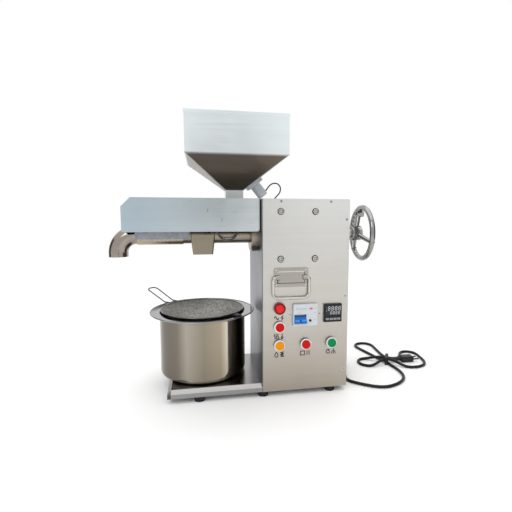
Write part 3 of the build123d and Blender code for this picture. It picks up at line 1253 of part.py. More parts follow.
def strainer_frame():
    """Rim ring, twin-wire handle and rest lug of the strainer. Local X runs along the handle."""
    frame = Torus(STRAINER_RADIUS, STRAINER_WIRE)
    root = math.sqrt(STRAINER_RADIUS**2 - HANDLE_SPREAD**2)
    knee = POT_BRIM + 2 * BRIM_BEAD
    end = (HANDLE_REACH, HANDLE_TIP_SPREAD, HANDLE_RISE)
    half = [(root, HANDLE_SPREAD, 0), (knee, HANDLE_SPREAD, 0), end]
    wire = half + [(x, -y, z) for x, y, z in reversed(half)]
    frame += tube(wire, HANDLE_BEND, HANDLE_WIRE)
    low = POT_RIM + SLIDE_GAP - STRAINER_Z
    frame += block(
        -STRAINER_RADIUS - LUG_LENGTH, -STRAINER_RADIUS, -LUG_WIDTH / 2, LUG_WIDTH / 2,
        low, low + LUG_THICKNESS,
    )
    return Pos(POT_X, POT_Y, STRAINER_Z) * Rot(0, 0, HANDLE_ANGLE) * frame


# Mains cord
def cord_radii(points):
    """Corner radii of a cord: as large as the two runs at each point allow."""
    radii = []
    for before, point, after in zip(points, points[1:], points[2:]):
        run_in = Vector(*point) - Vector(*before)
        run_out = Vector(*after) - Vector(*point)
        turn = math.radians(run_in.get_angle(run_out))
        radii.append(CORNER_SHARE * min(run_in.length, run_out.length) / math.tan(turn / 2))
    return radii


def cable_gland():
    """Strain relief in the cabinet's right side."""
    inside = PANEL_RIGHT - GLAND_NECK_LENGTH
    shoulder = CABINET_WIDTH + GLAND_FLANGE_WIDTH
    return turned_x([
        (inside, 0), (inside, GLAND_NECK), (CABINET_WIDTH, GLAND_NECK), (CABINET_WIDTH, GLAND_FLANGE),
        (shoulder, GLAND_FLANGE), (GLAND_END, GLAND_TIP), (GLAND_END, 0),
    ], GLAND_Y, GLAND_Z)


def mains_cord():
    """Cord from the gland along the floor to the hank."""
    route = [(GLAND_END + x, y, z) for x, y, z in CORD_ROUTE]
    return tube(route, cord_radii(route), CORD_RADIUS)


def at_hank(shape):
    """Place a piece at the hank's tied waist, on the floor."""
    return Pos(HANK_X, HANK_Y, 0) * shape


def cord_tie():
    """Band round the hank's waist."""
    width = HANK_WAIST + 2 * TIE_THICKNESS
    band = Box(TIE_WIDTH, width, HANK_HEIGHT + 2 * TIE_THICKNESS, align=FROM_BASE)
    band -= Pos(0, 0, TIE_THICKNESS) * Box(2 * TIE_WIDTH, HANK_WAIST, HANK_HEIGHT, align=FROM_BASE)
    return at_hank(Rot(0, 0, TIE_ANGLE) * band)


def cord_hank():
    """Outer form of the tied hank: lobes that meet at its waist."""
    outline = Rot(0, 0, TIE_ANGLE) * Rectangle(2 * TIE_WIDTH, HANK_WAIST)
    for angle, length, width in HANK_LOBES:
        outline += Rot(0, 0, angle) * Pos(length / 2, 0) * Ellipse(length / 2, width / 2)
    hank = at_hank(Pos(0, 0, TIE_THICKNESS) * extrude(outline, HANK_HEIGHT))
    boot = PLUG_OFFSET_X - PLUG_LENGTH / 2 - PLUG_BOOT
    half = PLUG_WIDTH / 2 + SLIDE_GAP
    path = block(boot, 2 * PLUG_OFFSET_X, PLUG_OFFSET_Y - half, PLUG_OFFSET_Y + half, 0, 2 * HANK_HEIGHT)
    return hank - cord_tie() - at_hank(path)


def mains_plug():
    """Moulded plug with a tapered boot towards the hank and round pins."""
    body = Pos(PLUG_OFFSET_X, PLUG_OFFSET_Y, 0) * Box(PLUG_LENGTH, PLUG_WIDTH, PLUG_HEIGHT, align=FROM_BASE)
    body = fillet(body.edges(), PLUG_EDGE)
    level = PLUG_HEIGHT / 2
    boot_right = PLUG_OFFSET_X - PLUG_LENGTH / 2 + 2
    plug = body + rod_x(boot_right - PLUG_BOOT - 2, boot_right, PLUG_BOOT_RADIUS, PLUG_OFFSET_Y, level)
    face = PLUG_OFFSET_X + PLUG_LENGTH / 2
    for side in (-1, 1):
        plug += rod_x(face - 1, face + PIN_LENGTH, PIN_RADIUS, PLUG_OFFSET_Y + side * PIN_PITCH / 2, level)
    return at_hank(plug)


# Nodes: one entry per file, a list where several like solids share a node
def machine_pieces():
    """Every piece of the press except the free cord."""
    bezel = control_bezel()
    contact = contact_block()
    plate, rivets, grip = handle_plate(), handle_rivets(), bail()
    pieces = {
        "base_pan": base_pan(),
        "rubber_feet": rubber_feet(),
        "wrap_panel": wrap_panel(),
        "service_cover": service_cover(),
        "panel_screws": panel_screws(),
        "handle_plates": [plate, to_back(plate)],
        "handle_rivets": rivets + [to_back(rivet) for rivet in rivets],
        "front_bail": grip,
        "rear_bail": to_back(grip),
        "control_bezels": [on_front(spot) * bezel for spot in control_spots()],
        "contact_blocks": [on_front(spot) * contact for spot in control_spots()],
        "power_lamp": on_front(LAMP_SPOT) * lamp_lens(),
        "breaker_body": breaker_body(),
        "breaker_toggle": breaker_toggle(),
        "breaker_test_button": breaker_test_button(),
        "controller_case": controller_case(),
        "gearbox_housing": gearbox_housing(),
        "gearbox_cover": gearbox_cover(),
        "gearbox_bearings": gearbox_bearings(),
        "gearbox_bolts": gearbox_bolts(),
        "output_flange": output_flange(),
        "worm_wheel": worm_wheel(),
        "worm_shaft": worm_shaft(),
        "motor_housing": motor_housing(),
        "motor_rotor": motor_rotor(),
        "motor_fan": motor_fan(),
        "run_capacitor": run_capacitor(),
        "main_shaft": main_shaft(),
        "handwheel": handwheel(),
        "press_screw": press_screw(),
        "press_barrel": press_barrel(),
        "choke_ring": choke_ring(),
        "cake_elbow": cake_elbow(),
        "heater_band": heater_band(),
        "heater_lead": heater_lead(),
        "heat_shield": heat_shield(),
        "barrel_collar": barrel_collar(),
        "oil_chute": oil_chute(),
        "press_cover": press_cover(),
        "feed_neck": feed_neck(),
        "hopper": hopper(),
        "vibrator_flange": vibrator_flange(),
        "vibrator_can": vibrator_can(),
        "vibrator_lead": vibrator_lead(),
        "pot": pot(),
        "strainer_mesh": strainer_mesh(),
        "strainer_frame": strainer_frame(),
    }
    for name, spot in BUTTON_SPOTS.items():
        pieces[name] = on_front(spot) * button_cap()
    for i, name in enumerate(KEY_NAMES):
        pieces[name] = controller_key(i)
    return pieces


def cord_pieces():
    """The free mains cord and what is on it."""
    return {
        "cable_gland": cable_gland(),
        "mains_cord": mains_cord(),
        "cord_hank": cord_hank(),
        "cord_tie": cord_tie(),
        "mains_plug": mains_plug(),
    }


def gather(piece):
    """One compound of a node's solids."""
    members = piece if isinstance(piece, list) else [piece]
    return Compound([solid for member in members for solid in member.solids()])


def main():
    """Build every node, centre the machine on its footprint and write one file per node."""
    machine = {name: gather(piece) for name, piece in machine_pieces().items()}
    cord = {name: gather(piece) for name, piece in cord_pieces().items()}
    box = Compound(list(machine.values())).bounding_box()
    shift = Vector(-box.center().X, -box.center().Y, 0)
    print("origin shift", tuple(shift))
    os.makedirs("parts", exist_ok=True)
    for name, shape in (machine | cord).items():
        export_step(Pos(*shift) * shape, f"parts/{name}.step")


if __name__ == "__main__":
    main()
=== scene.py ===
"""Looks of a screw oil press: finishes, small fittings, leads, camera and studio.

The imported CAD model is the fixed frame. Sizes in the classes are millimetres from the part's
working datum: X from the cabinet's left face, Y from its front face, Z from the floor.
"""

from __future__ import annotations

import logging
import math
from abc import ABC, abstractmethod
from dataclasses import dataclass
from enum import Enum
from typing import Any, Mapping, Sequence, Union

import bmesh
import bpy
from mathutils import Matrix, Vector


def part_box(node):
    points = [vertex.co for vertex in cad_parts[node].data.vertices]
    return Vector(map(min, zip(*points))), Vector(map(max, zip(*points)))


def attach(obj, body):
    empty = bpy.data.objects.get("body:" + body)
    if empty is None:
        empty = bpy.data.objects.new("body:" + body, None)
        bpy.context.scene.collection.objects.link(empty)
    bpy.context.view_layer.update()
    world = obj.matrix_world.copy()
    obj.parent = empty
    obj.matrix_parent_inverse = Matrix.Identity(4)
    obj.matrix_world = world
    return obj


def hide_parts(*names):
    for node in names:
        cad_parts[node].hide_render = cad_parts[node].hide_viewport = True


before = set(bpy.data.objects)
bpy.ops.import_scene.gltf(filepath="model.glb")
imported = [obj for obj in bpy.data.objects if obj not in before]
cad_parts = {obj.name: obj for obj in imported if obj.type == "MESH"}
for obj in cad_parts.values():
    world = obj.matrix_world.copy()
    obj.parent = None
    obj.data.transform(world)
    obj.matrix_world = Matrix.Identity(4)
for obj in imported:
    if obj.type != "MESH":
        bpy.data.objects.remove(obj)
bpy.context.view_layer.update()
LOG = logging.getLogger("oil_press")

DATUM_SHIFT = Vector((35.65, -135.14421, 0.0))
MM = 0.001
MACHINE = "machine"
NOISE_LOW, NOISE_HIGH = 0.3, 0.7

Colour = tuple[float, float, float]
Point = tuple[float, float, float]
Flat = tuple[float, float]
Bar = tuple[float, float, float, float]
Operand = Union["Value", float, int, Colour]


def at(x: float, y: float, z: float) -> Vector:
    """Return a datum point in millimetres as a row-frame point in metres."""
    return (Vector((x, y, z)) + DATUM_SHIFT) * MM


class Axis(Enum):
    """An axis of the row frame, by its number."""

    X = 0
    Y = 1
    Z = 2


class Value:
    """A shader socket that takes part in Python arithmetic."""

    def __init__(self, graph: "Graph", socket: bpy.types.NodeSocket) -> None:
        """Keep the graph and the output socket."""
        self.graph = graph
        self.socket = socket

    def _math(self, operation: str, first: Operand, second: Operand) -> "Value":
        """Return a Math node's result for two operands."""
        return self.graph.add("ShaderNodeMath", {"operation": operation}, {0: first, 1: second})

    def __add__(self, other: Operand) -> "Value":
        """Return self + other."""
        return self._math("ADD", self, other)

    def __radd__(self, other: Operand) -> "Value":
        """Return other + self."""
        return self._math("ADD", other, self)

    def __sub__(self, other: Operand) -> "Value":
        """Return self - other."""
        return self._math("SUBTRACT", self, other)

    def __rsub__(self, other: Operand) -> "Value":
        """Return other - self."""
        return self._math("SUBTRACT", other, self)

    def __mul__(self, other: Operand) -> "Value":
        """Return self * other."""
        return self._math("MULTIPLY", self, other)

    def __rmul__(self, other: Operand) -> "Value":
        """Return other * self."""
        return self._math("MULTIPLY", other, self)


class Graph:
    """A material's node tree with one Principled shader."""

    def __init__(self, name: str) -> None:
        """Start a material of that name.

        Args:
            name: the material's name.
        """
        self.material = bpy.data.materials.new(name)
        self.material.use_nodes = True
        self.tree = self.material.node_tree
        self.shader = self.tree.nodes["Principled BSDF"]

    def add(
        self,
        kind: str,
        settings: Mapping[str, Any] | None = None,
        inputs: Mapping[Union[str, int], Operand] | None = None,
        out: Union[str, int] = 0,
    ) -> Value:
        """Add a node.

        Args:
            kind: the node's type name.
            settings: its properties, or a ramp's stops, set before its sockets.
            inputs: values or links of its sockets, by name or number.
            out: the output that is wanted.

        Returns:
            The chosen output.
        """
        node = self.tree.nodes.new(kind)
        for name, value in (settings or {}).items():
            if name == "stops":
                ramp = node.color_ramp
                while len(ramp.elements) < len(value):
                    ramp.elements.new(0.5)
                for element, (position, colour) in zip(ramp.elements, value):
                    element.position = position
                    element.color = (*colour, 1.0)
            else:
                setattr(node, name, value)
        for name, value in (inputs or {}).items():
            self.feed(node.inputs[name], value)
        return Value(self, node.outputs[out])

    def feed(self, socket: bpy.types.NodeSocket, value: Operand) -> None:
        """Link a value to a socket or set the socket's own number or colour."""
        if isinstance(value, Value):
            self.tree.links.new(value.socket, socket)
        elif isinstance(value, tuple) and len(socket.default_value) == 4:
            socket.default_value = (*value, 1.0)
        else:
            socket.default_value = value

    def surface(self, **sockets: Operand) -> None:
        """Set the shader's sockets, underscores standing for spaces in their names."""
        for name, value in sockets.items():
            self.feed(self.shader.inputs[name.replace("_", " ")], value)

    def place(self, scale: Point = (1.0, 1.0, 1.0)) -> Value:
        """Return the object's own coordinates, in metres, times a scale."""
        where = self.add("ShaderNodeTexCoord", out="Object")
        return self.add("ShaderNodeVectorMath", {"operation": "MULTIPLY"}, {0: where, 1: scale})

    def noise(self, where: Value, scale: float, detail: float, rough: float) -> Value:
        """Return noise from 0 to 1 at a number of cells per unit."""
        sockets = {"Vector": where, "Scale": scale, "Detail": detail, "Roughness": rough}
        return self.add("ShaderNodeTexNoise", {}, sockets)

    def lines(self, axis: Axis, across: float, along: float, detail: float, rough: float) -> Value:
        """Return noise drawn out along an axis, with its cells per metre across and along it."""
        scale = [across] * 3
        scale[axis.value] = along
        return self.noise(self.place(tuple(scale)), 1.0, detail, rough)

    def part(self, where: Value, axis: Axis) -> Value:
        """Return one coordinate of a vector."""
        return self.add("ShaderNodeSeparateXYZ", {}, {0: where}, out=axis.value)

    def span(self, value: Operand, low: float, high: float, to_low: float, to_high: float) -> Value:
        """Return a value moved from one range to another and held there."""
        sockets = {"Value": value, "From Min": low, "From Max": high, "To Min": to_low, "To Max": to_high}
        return self.add("ShaderNodeMapRange", {"clamp": True}, sockets)

    def wear(self, noise: Value, low: float, high: float) -> Value:
        """Return a roughness between two values from the middle of a noise's range."""
        return self.span(noise, NOISE_LOW, NOISE_HIGH, low, high)

    def mix(self, share: Operand, first: Operand, second: Operand) -> Value:
        """Return a mix of two colours by share."""
        return self.add("ShaderNodeMix", {"data_type": "RGBA"}, {"Factor": share, 6: first, 7: second}, out=2)

    def fade(self, axis: Axis, start: float, end: float, first: Operand, second: Operand) -> Value:
        """Return a colour that goes from first to second along an axis of the object, in metres."""
        return self.mix(self.span(self.part(self.place(), axis), start, end, 0.0, 1.0), first, second)

    def level(self, contrast: float, first: Value, share: float, second: Value) -> Value:
        """Return a brightness about 1 from two noises, the first with a share."""
        return 1.0 - contrast + (first * share + second * (1.0 - share)) * (2.0 * contrast)

    def sine(self, value: Value) -> Value:
        """Return the sine of a value."""
        return self.add("ShaderNodeMath", {"operation": "SINE"}, {0: value})

    def scaled(self, colour: Operand, amount: Value) -> Value:
        """Return a colour made lighter or darker by a value."""
        return self.add("ShaderNodeVectorMath", {"operation": "SCALE"}, {0: colour, "Scale": amount})

    def bump(self, height: Operand, distance_mm: float, strength: float) -> None:
        """Feed a height to the shader's normal."""
        sockets = {"Height": height, "Distance": distance_mm * MM, "Strength": strength}
        self.surface(Normal=self.add("ShaderNodeBump", {}, sockets, out="Normal"))


@dataclass(frozen=True)
class Finish(ABC):
    """What a surface is made of; its places are in metres of the row frame."""

    name: str
    tint: Colour

    def material(self) -> bpy.types.Material:
        """Return the finish as a material."""
        g = Graph(self.name)
        self.paint(g)
        return g.material

    @abstractmethod
    def paint(self, g: Graph) -> None:
        """Set the sockets of the shader."""


@dataclass(frozen=True)
class BrushedSteel(Finish):
    """Stainless sheet with brush lines, faint bands and handling marks; painted shade and reflection make it
    darker low down and on the left.
    """

    grain: Axis = Axis.X
    roughness: float = 0.30
    lines_per_m: float = 900.0
    contrast: float = 0.10
    shade_from: float = 0.0
    shade_to: float = 1.0
    painted_low_shade: Colour | None = None
    painted_left_shade: Colour | None = None
    left_from: float = 0.0
    left_to: float = 1.0

    def paint(self, g: Graph) -> None:
        """Set the sockets of the shader."""
        fine = g.lines(self.grain, self.lines_per_m, 5.0, 4.0, 0.6)
        broad = g.lines(self.grain, 60.0, 1.6, 3.0, 0.5)
        marks = g.noise(g.place(), 9.0, 4.0, 0.6)
        level = g.level(self.contrast, fine, 0.55, broad)
        colour: Operand = self.tint
        # Painted shade and reflection: the colour fades to a darker tint low down and on the left, standing in
        # for unevenly falling light.
        if self.painted_low_shade is not None:
            colour = g.fade(Axis.Z, self.shade_from, self.shade_to, self.painted_low_shade, colour)
        if self.painted_left_shade is not None:
            colour = g.fade(Axis.X, self.left_from, self.left_to, self.painted_left_shade, colour)
        g.surface(
            Base_Color=g.scaled(colour, level),
            Metallic=1.0,
            Roughness=g.wear(fine * 0.5 + marks * 0.5, self.roughness - 0.06, self.roughness + 0.09),
        )
        g.bump(fine, 0.03, 0.35)


@dataclass(frozen=True)
class PolishedSteel(Finish):
    """Polished steel with draw lines and dulled patches, whose tone at high contrast makes painted reflection
    streaks; on drawn ware, painted reflection bands round its axis and painted shade on the brim above a
    height.
    """

    roughness: float = 0.07
    grain: Axis = Axis.Z
    contrast: float = 0.05
    painted_reflections: Sequence[tuple[float, Colour]] = ()
    reflection_axis: Flat = (0.0, 0.0)
    brim_from: float = 0.0
    painted_brim_shade: Colour | None = None

    def paint(self, g: Graph) -> None:
        """Set the sockets of the shader."""
        lines = g.lines(self.grain, 260.0, 6.0, 3.0, 0.5)
        clouds = g.noise(g.place(), 14.0, 4.0, 0.6)
        spots = g.noise(g.place(), 160.0, 2.0, 0.5)
        # Tone from draw lines and patches; at high contrast it also makes painted reflection streaks.
        level = g.level(self.contrast, lines, 0.5, clouds)
        dull = g.span(clouds, 0.45, 0.75, 0.0, 0.10) + g.span(spots, 0.68, 0.75, 0.0, 0.06)
        colour: Operand = self.tint
        # Painted reflection: colour bands by angle round the axis, standing in for reflections of the
        # surroundings.
        if self.painted_reflections:
            x, y = self.reflection_axis
            turn = g.add(
                "ShaderNodeMath", {"operation": "ARCTAN2"},
                {0: g.part(g.place(), Axis.Y) - y, 1: g.part(g.place(), Axis.X) - x},
            )
            around = g.span(turn, -math.pi, math.pi, 0.0, 1.0)
            colour = g.add("ShaderNodeValToRGB", {"stops": self.painted_reflections}, {0: around})
        # Painted shade: the brim above its height is darker.
        if self.painted_brim_shade is not None:
            colour = g.fade(Axis.Z, self.brim_from, self.brim_from + 0.001, colour, self.painted_brim_shade)
        g.surface(
            Base_Color=g.scaled(colour, level),
            Metallic=1.0,
            Roughness=dull + self.roughness,
        )
        g.bump(lines, 0.02, 0.15)


@dataclass(frozen=True)
class SpangledZinc(Finish):
    """Galvanised sheet with crystal spangle."""

    def paint(self, g: Graph) -> None:
        """Set the sockets of the shader."""
        crystals = g.add("ShaderNodeTexVoronoi", {}, {"Vector": g.place(), "Scale": 140.0}, out="Color")
        grey = g.part(crystals, Axis.X)
        stain = g.noise(g.place(), 30.0, 4.0, 0.6)
        g.surface(
            Base_Color=g.scaled(self.tint, 0.62 + grey * 0.34 + stain * 0.22),
            Metallic=1.0,
            Roughness=g.span(grey, 0.0, 1.0, 0.34, 0.56),
        )
        g.bump(grey, 0.03, 0.3)


@dataclass(frozen=True)
class MachinedMetal(Finish):
    """Turned, plated or cast metal with a fine grain."""

    roughness: float = 0.32
    grain_scale: float = 500.0
    stain: float = 0.16
    metallic: float = 1.0
    bump_mm: float = 0.02

    def paint(self, g: Graph) -> None:
        """Set the sockets of the shader."""
        grain = g.noise(g.place(), self.grain_scale, 3.0, 0.6)
        stains = g.noise(g.place(), 26.0, 4.0, 0.6)
        level = g.level(self.stain, grain, 0.4, stains)
        g.surface(
            Base_Color=g.scaled(self.tint, level),
            Metallic=self.metallic,
            Roughness=g.wear(grain * 0.4 + stains * 0.6, self.roughness - 0.07, self.roughness + 0.1),
        )
        g.bump(grain, self.bump_mm, 0.4)


@dataclass(frozen=True)
class MouldedPlastic(Finish):
    """Moulded plastic or rubber with a fine texture and handled spots, and, where given, painted shade on the
    sides behind a depth.
    """

    roughness: float = 0.35
    texture_scale: float = 1400.0
    texture_mm: float = 0.02
    coat: float = 0.0
    mottle: float = 0.06
    glow: float = 0.0
    specular: float = 0.25
    painted_side_shade: Colour | None = None
    side_from: float = 0.0

    def paint(self, g: Graph) -> None:
        """Set the sockets of the shader."""
        grain = g.noise(g.place(), self.texture_scale, 2.0, 0.5)
        clouds = g.noise(g.place(), 45.0, 4.0, 0.6)
        level = g.level(self.mottle, grain, 0.4, clouds)
        colour: Operand = self.tint
        # Painted shade: the sides behind the front face are dark.
        if self.painted_side_shade is not None:
            colour = g.fade(Axis.Y, self.side_from, self.side_from + 0.0006, colour, self.painted_side_shade)
        g.surface(
            Base_Color=g.scaled(colour, level),
            Roughness=g.wear(clouds, self.roughness - 0.05, self.roughness + 0.08),
            Coat_Weight=self.coat,
            Specular_IOR_Level=self.specular,
        )
        if self.glow:
            g.surface(Emission_Color=g.scaled(self.tint, level), Emission_Strength=self.glow)
        g.bump(grain, self.texture_mm, 0.5)


@dataclass(frozen=True)
class WovenWire(Finish):
    """Fine woven wire cloth that lets some of what is behind it through."""

    pitch_mm: float = 1.6

    def paint(self, g: Graph) -> None:
        """Set the sockets of the shader."""
        turns = math.pi / (self.pitch_mm * MM)
        where = g.place((turns, turns, turns))
        ways = []
        for axis in (Axis.X, Axis.Y):
            wave = g.sine(g.part(where, axis))
            ways.append(wave * wave)
        wires = g.add("ShaderNodeMath", {"operation": "MAXIMUM"}, {0: ways[0], 1: ways[1]})
        clouds = g.noise(g.place(), 30.0, 3.0, 0.6)
        weave = g.span(g.noise(g.place(), 190.0, 2.0, 0.7), 0.32, 0.68, 0.55, 1.35)
        g.surface(
            Base_Color=g.scaled(self.tint, (0.45 + wires * 0.55 + clouds * 0.2) * weave),
            Metallic=1.0,
            Roughness=g.wear(clouds, 0.36, 0.52),
            Alpha=g.span(wires, 0.25, 0.5, 0.45, 1.0),
        )
        g.bump(wires, 0.3, 0.6)


@dataclass(frozen=True)
class BraidedSleeve(Finish):
    """Braided sleeve of a heat-resistant lead."""

    dark: Colour

    def paint(self, g: Graph) -> None:
        """Set the sockets of the shader."""
        where = g.place((1900.0, 1900.0, 1900.0))
        across, up = g.part(where, Axis.X), g.part(where, Axis.Z)
        weave = (g.sine(across + up) * g.sine(across - up)) * 0.5 + 0.5
        g.surface(
            Base_Color=g.mix(weave, self.dark, self.tint),
            Roughness=g.span(weave, 0.0, 1.0, 0.75, 0.5),
        )
        g.bump(weave, 0.15, 0.7)


class Wardrobe:
    """Materials made once each from their finishes."""

    def __init__(self) -> None:
        """Start with no material made."""
        self.made: dict[str, bpy.types.Material] = {}

    def get(self, finish: Finish) -> bpy.types.Material:
        """Return the finish's material."""
        if finish.name not in self.made:
            self.made[finish.name] = finish.material()
        return self.made[finish.name]

    def dress(self, finish: Finish, *nodes: str, edge_mm: float = 0.0) -> None:
        """Give CAD nodes a finish.

        Args:
            finish: what they are made of.
            nodes: the CAD nodes' names.
            edge_mm: rounding of their sharp edges, 0 for none.
        """
        for node in nodes:
            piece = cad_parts[node]
            piece.data.materials.clear()
            piece.data.materials.append(self.get(finish))
            if edge_mm:
                soften(piece, edge_mm)
            LOG.info("dressed %s in %s", node, finish.name)


def soften(piece: bpy.types.Object, width_mm: float, angle: float = 40.0) -> None:
    """Round a piece's sharp edges with a bevel."""
    bevel = piece.modifiers.new("soft_edges", "BEVEL")
    bevel.width = width_mm * MM
    bevel.segments = 2
    bevel.limit_method = "ANGLE"
    bevel.angle_limit = math.radians(angle)
    bevel.use_clamp_overlap = True


class Shape:
    """A mesh built up from simple closed forms, in datum millimetres."""

    def __init__(self) -> None:
        """Start an empty mesh."""
        self.bm = bmesh.new()

    def skin(self, first: Sequence[bmesh.types.BMVert], second: Sequence[bmesh.types.BMVert]) -> None:
        """Close the band between two rings with as many points each."""
        count = len(first)
        for i in range(count):
            j = (i + 1) % count
            self.bm.faces.new((first[i], first[j], second[j], second[i]))

    def prism(self, outline: Sequence[Flat], base: Matrix, depth: float, edge: float = 0.0) -> None:
        """Add a flat outline drawn out along its plane's normal.

        Args:
            outline: points of a simple polygon, counter-clockwise, in the plane.
            base: the plane as a matrix, millimetres.
            depth: how far it stands out along the plane's local Z.
            edge: rounding of its rim.
        """
        lower = [self.bm.verts.new(base @ Vector((x, y, 0.0))) for x, y in outline]
        upper = [self.bm.verts.new(base @ Vector((x, y, depth))) for x, y in outline]
        top = self.bm.faces.new(upper)
        self.bm.faces.new(list(reversed(lower)))
        self.skin(lower, upper)
        if edge:
            bmesh.ops.bevel(
                self.bm, geom=list(top.edges), offset=edge, segments=2, affect="EDGES", clamp_overlap=True
            )

    def ring(self, inner: Sequence[Flat], outer: Sequence[Flat], base: Matrix, depth: float) -> None:
        """Add a closed band between two outlines with as many points each."""
        rows = [
            [self.bm.verts.new(base @ Vector((x, y, z))) for x, y in outline]
            for outline, z in ((outer, 0.0), (outer, depth), (inner, depth), (inner, 0.0))
        ]
        for a, b in zip(rows, rows[1:] + rows[:1]):
            self.skin(a, b)

    def bead(self, path: Sequence[Point], radius: float, sides: int = 8) -> None:
        """Add a round bead along a path of points."""
        points = [Vector(p) for p in path]
        rows = []
        side = None
        for i, point in enumerate(points):
            ahead = points[min(i + 1, len(points) - 1)] - points[max(i - 1, 0)]
            ahead.normalize()
            if side is None:
                side = ahead.orthogonal().normalized()
            side = (side - ahead * side.dot(ahead)).normalized()
            up = ahead.cross(side)
            rows.append([
                self.bm.verts.new(point + (side * math.cos(t) + up * math.sin(t)) * radius)
                for t in (2 * math.pi * k / sides for k in range(sides))
            ])
        for a, b in zip(rows, rows[1:]):
            self.skin(a, b)
        self.bm.faces.new(list(reversed(rows[0])))
        self.bm.faces.new(rows[-1])

    def piece(
        self, name: str, finish: Finish, wardrobe: Wardrobe, body: str = MACHINE, slot: str | None = None,
        smooth: float = 35.0,
    ) -> bpy.types.Object:
        """Make the mesh an object that rides on a body.

        Args:
            name: the piece's name.
            finish: what it is made of.
            wardrobe: where materials are kept.
            body: the CAD body that carries it.
            slot: the record's material slot, if one fits; not used.
            smooth: the angle under which edges are smooth, in degrees.

        Returns:
            The object.
        """
        bmesh.ops.recalc_face_normals(self.bm, faces=self.bm.faces)
        for vert in self.bm.verts:
            vert.co = (vert.co + DATUM_SHIFT) * MM
        mesh = bpy.data.meshes.new(name)
        self.bm.to_mesh(mesh)
        self.bm.free()
        for polygon in mesh.polygons:
            polygon.use_smooth = True
        mesh.set_sharp_from_angle(angle=math.radians(smooth))
        piece = bpy.data.objects.new(name, mesh)
        bpy.context.scene.collection.objects.link(piece)
        mesh.materials.append(wardrobe.get(finish))
        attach(piece, body)
        LOG.info("made %s on %s", name, body)
        return piece


def front_plane(x: float, y: float, z: float) -> Matrix:
    """Return a plane that faces the front: local X right, local Y up, local Z towards the viewer."""
    return Matrix(((1, 0, 0, x), (0, 0, -1, y), (0, 1, 0, z), (0, 0, 0, 1)))


def back_plane(x: float, y: float, z: float) -> Matrix:
    """Return a plane that faces the back: local X left as seen from the front, local Z away."""
    return Matrix(((-1, 0, 0, x), (0, 0, 1, y), (0, 1, 0, z), (0, 0, 0, 1)))


def box_outline(width: float, height: float, x: float = 0.0, y: float = 0.0) -> list[Flat]:
    """Return a rectangle about a centre."""
    a, b = width / 2, height / 2
    return [(x - a, y - b), (x + a, y - b), (x + a, y + b), (x - a, y + b)]


def rounded_outline(width: float, height: float, corner: float, steps: int = 6) -> list[Flat]:
    """Return a rectangle with round corners about the origin."""
    points = []
    for i, (sx, sy) in enumerate(((1, 1), (-1, 1), (-1, -1), (1, -1))):
        for k in range(steps + 1):
            t = math.pi / 2 * (i + k / steps)
            points.append((
                sx * (width / 2 - corner) + corner * math.cos(t),
                sy * (height / 2 - corner) + corner * math.sin(t),
            ))
    return points


def circle_outline(radius: float, steps: int = 40) -> list[Flat]:
    """Return a circle about the origin."""
    return [
        (radius * math.cos(2 * math.pi * k / steps), radius * math.sin(2 * math.pi * k / steps))
        for k in range(steps)
    ]


def islands(node: str) -> list[tuple[Vector, Vector]]:
    """Return the lowest and highest corner of each separate solid of a CAD node, in datum millimetres."""
    bm = bmesh.new()
    bm.from_mesh(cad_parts[node].data)
    bmesh.ops.remove_doubles(bm, verts=bm.verts, dist=1e-6)
    left = set(bm.verts)
    boxes = []
    while left:
        stack = [left.pop()]
        found = []
        while stack:
            vert = stack.pop()
            found.append(vert.co / MM - DATUM_SHIFT)
            for edge in vert.link_edges:
                other = edge.other_vert(vert)
                if other in left:
                    left.remove(other)
                    stack.append(other)
        boxes.append((
            Vector(min(p[i] for p in found) for i in range(3)),
            Vector(max(p[i] for p in found) for i in range(3)),
        ))
    bm.free()
    return sorted(boxes, key=lambda box: tuple(box[0]))


# Cabinet sheet: painted reflection, darker and warmer towards the bottom, and painted shade on the left side
# face.
CABINET_STEEL = BrushedSteel(
    "cabinet_steel", (0.71, 0.71, 0.69), Axis.X, 0.34,
    painted_low_shade=(0.40, 0.355, 0.30), shade_from=0.02, shade_to=0.50,
    painted_left_shade=(0.155, 0.155, 0.175), left_from=0.0362, left_to=0.0385,
)
# Base pan: painted shade on its left end.
SIDE_STEEL = BrushedSteel(
    "base_steel", (0.34, 0.335, 0.33), Axis.X, 0.22, contrast=0.12,
    painted_left_shade=(0.10, 0.098, 0.098), left_from=-0.1965, left_to=-0.1945,
)
# Press cover: painted shade, darker and bluer towards the left.
COVER_STEEL = BrushedSteel(
    "cover_steel", (0.70, 0.75, 0.76), Axis.X, 0.30, contrast=0.16,
    painted_left_shade=(0.41, 0.49, 0.54), left_from=-0.26, left_to=0.03,
)
CHUTE_STEEL = BrushedSteel("chute_steel", (0.24, 0.215, 0.165), Axis.X, 0.30)
NECK_STEEL = BrushedSteel("neck_steel", (0.60, 0.62, 0.63), Axis.Z, 0.28)
# Hopper: painted reflection, dark brown on the slopes up to just below the top edge.
HOPPER_STEEL = BrushedSteel(
    "hopper_steel", (0.84, 0.90, 0.92), Axis.X, 0.30,
    painted_low_shade=(0.185, 0.155, 0.125), shade_from=0.612, shade_to=0.618,
)
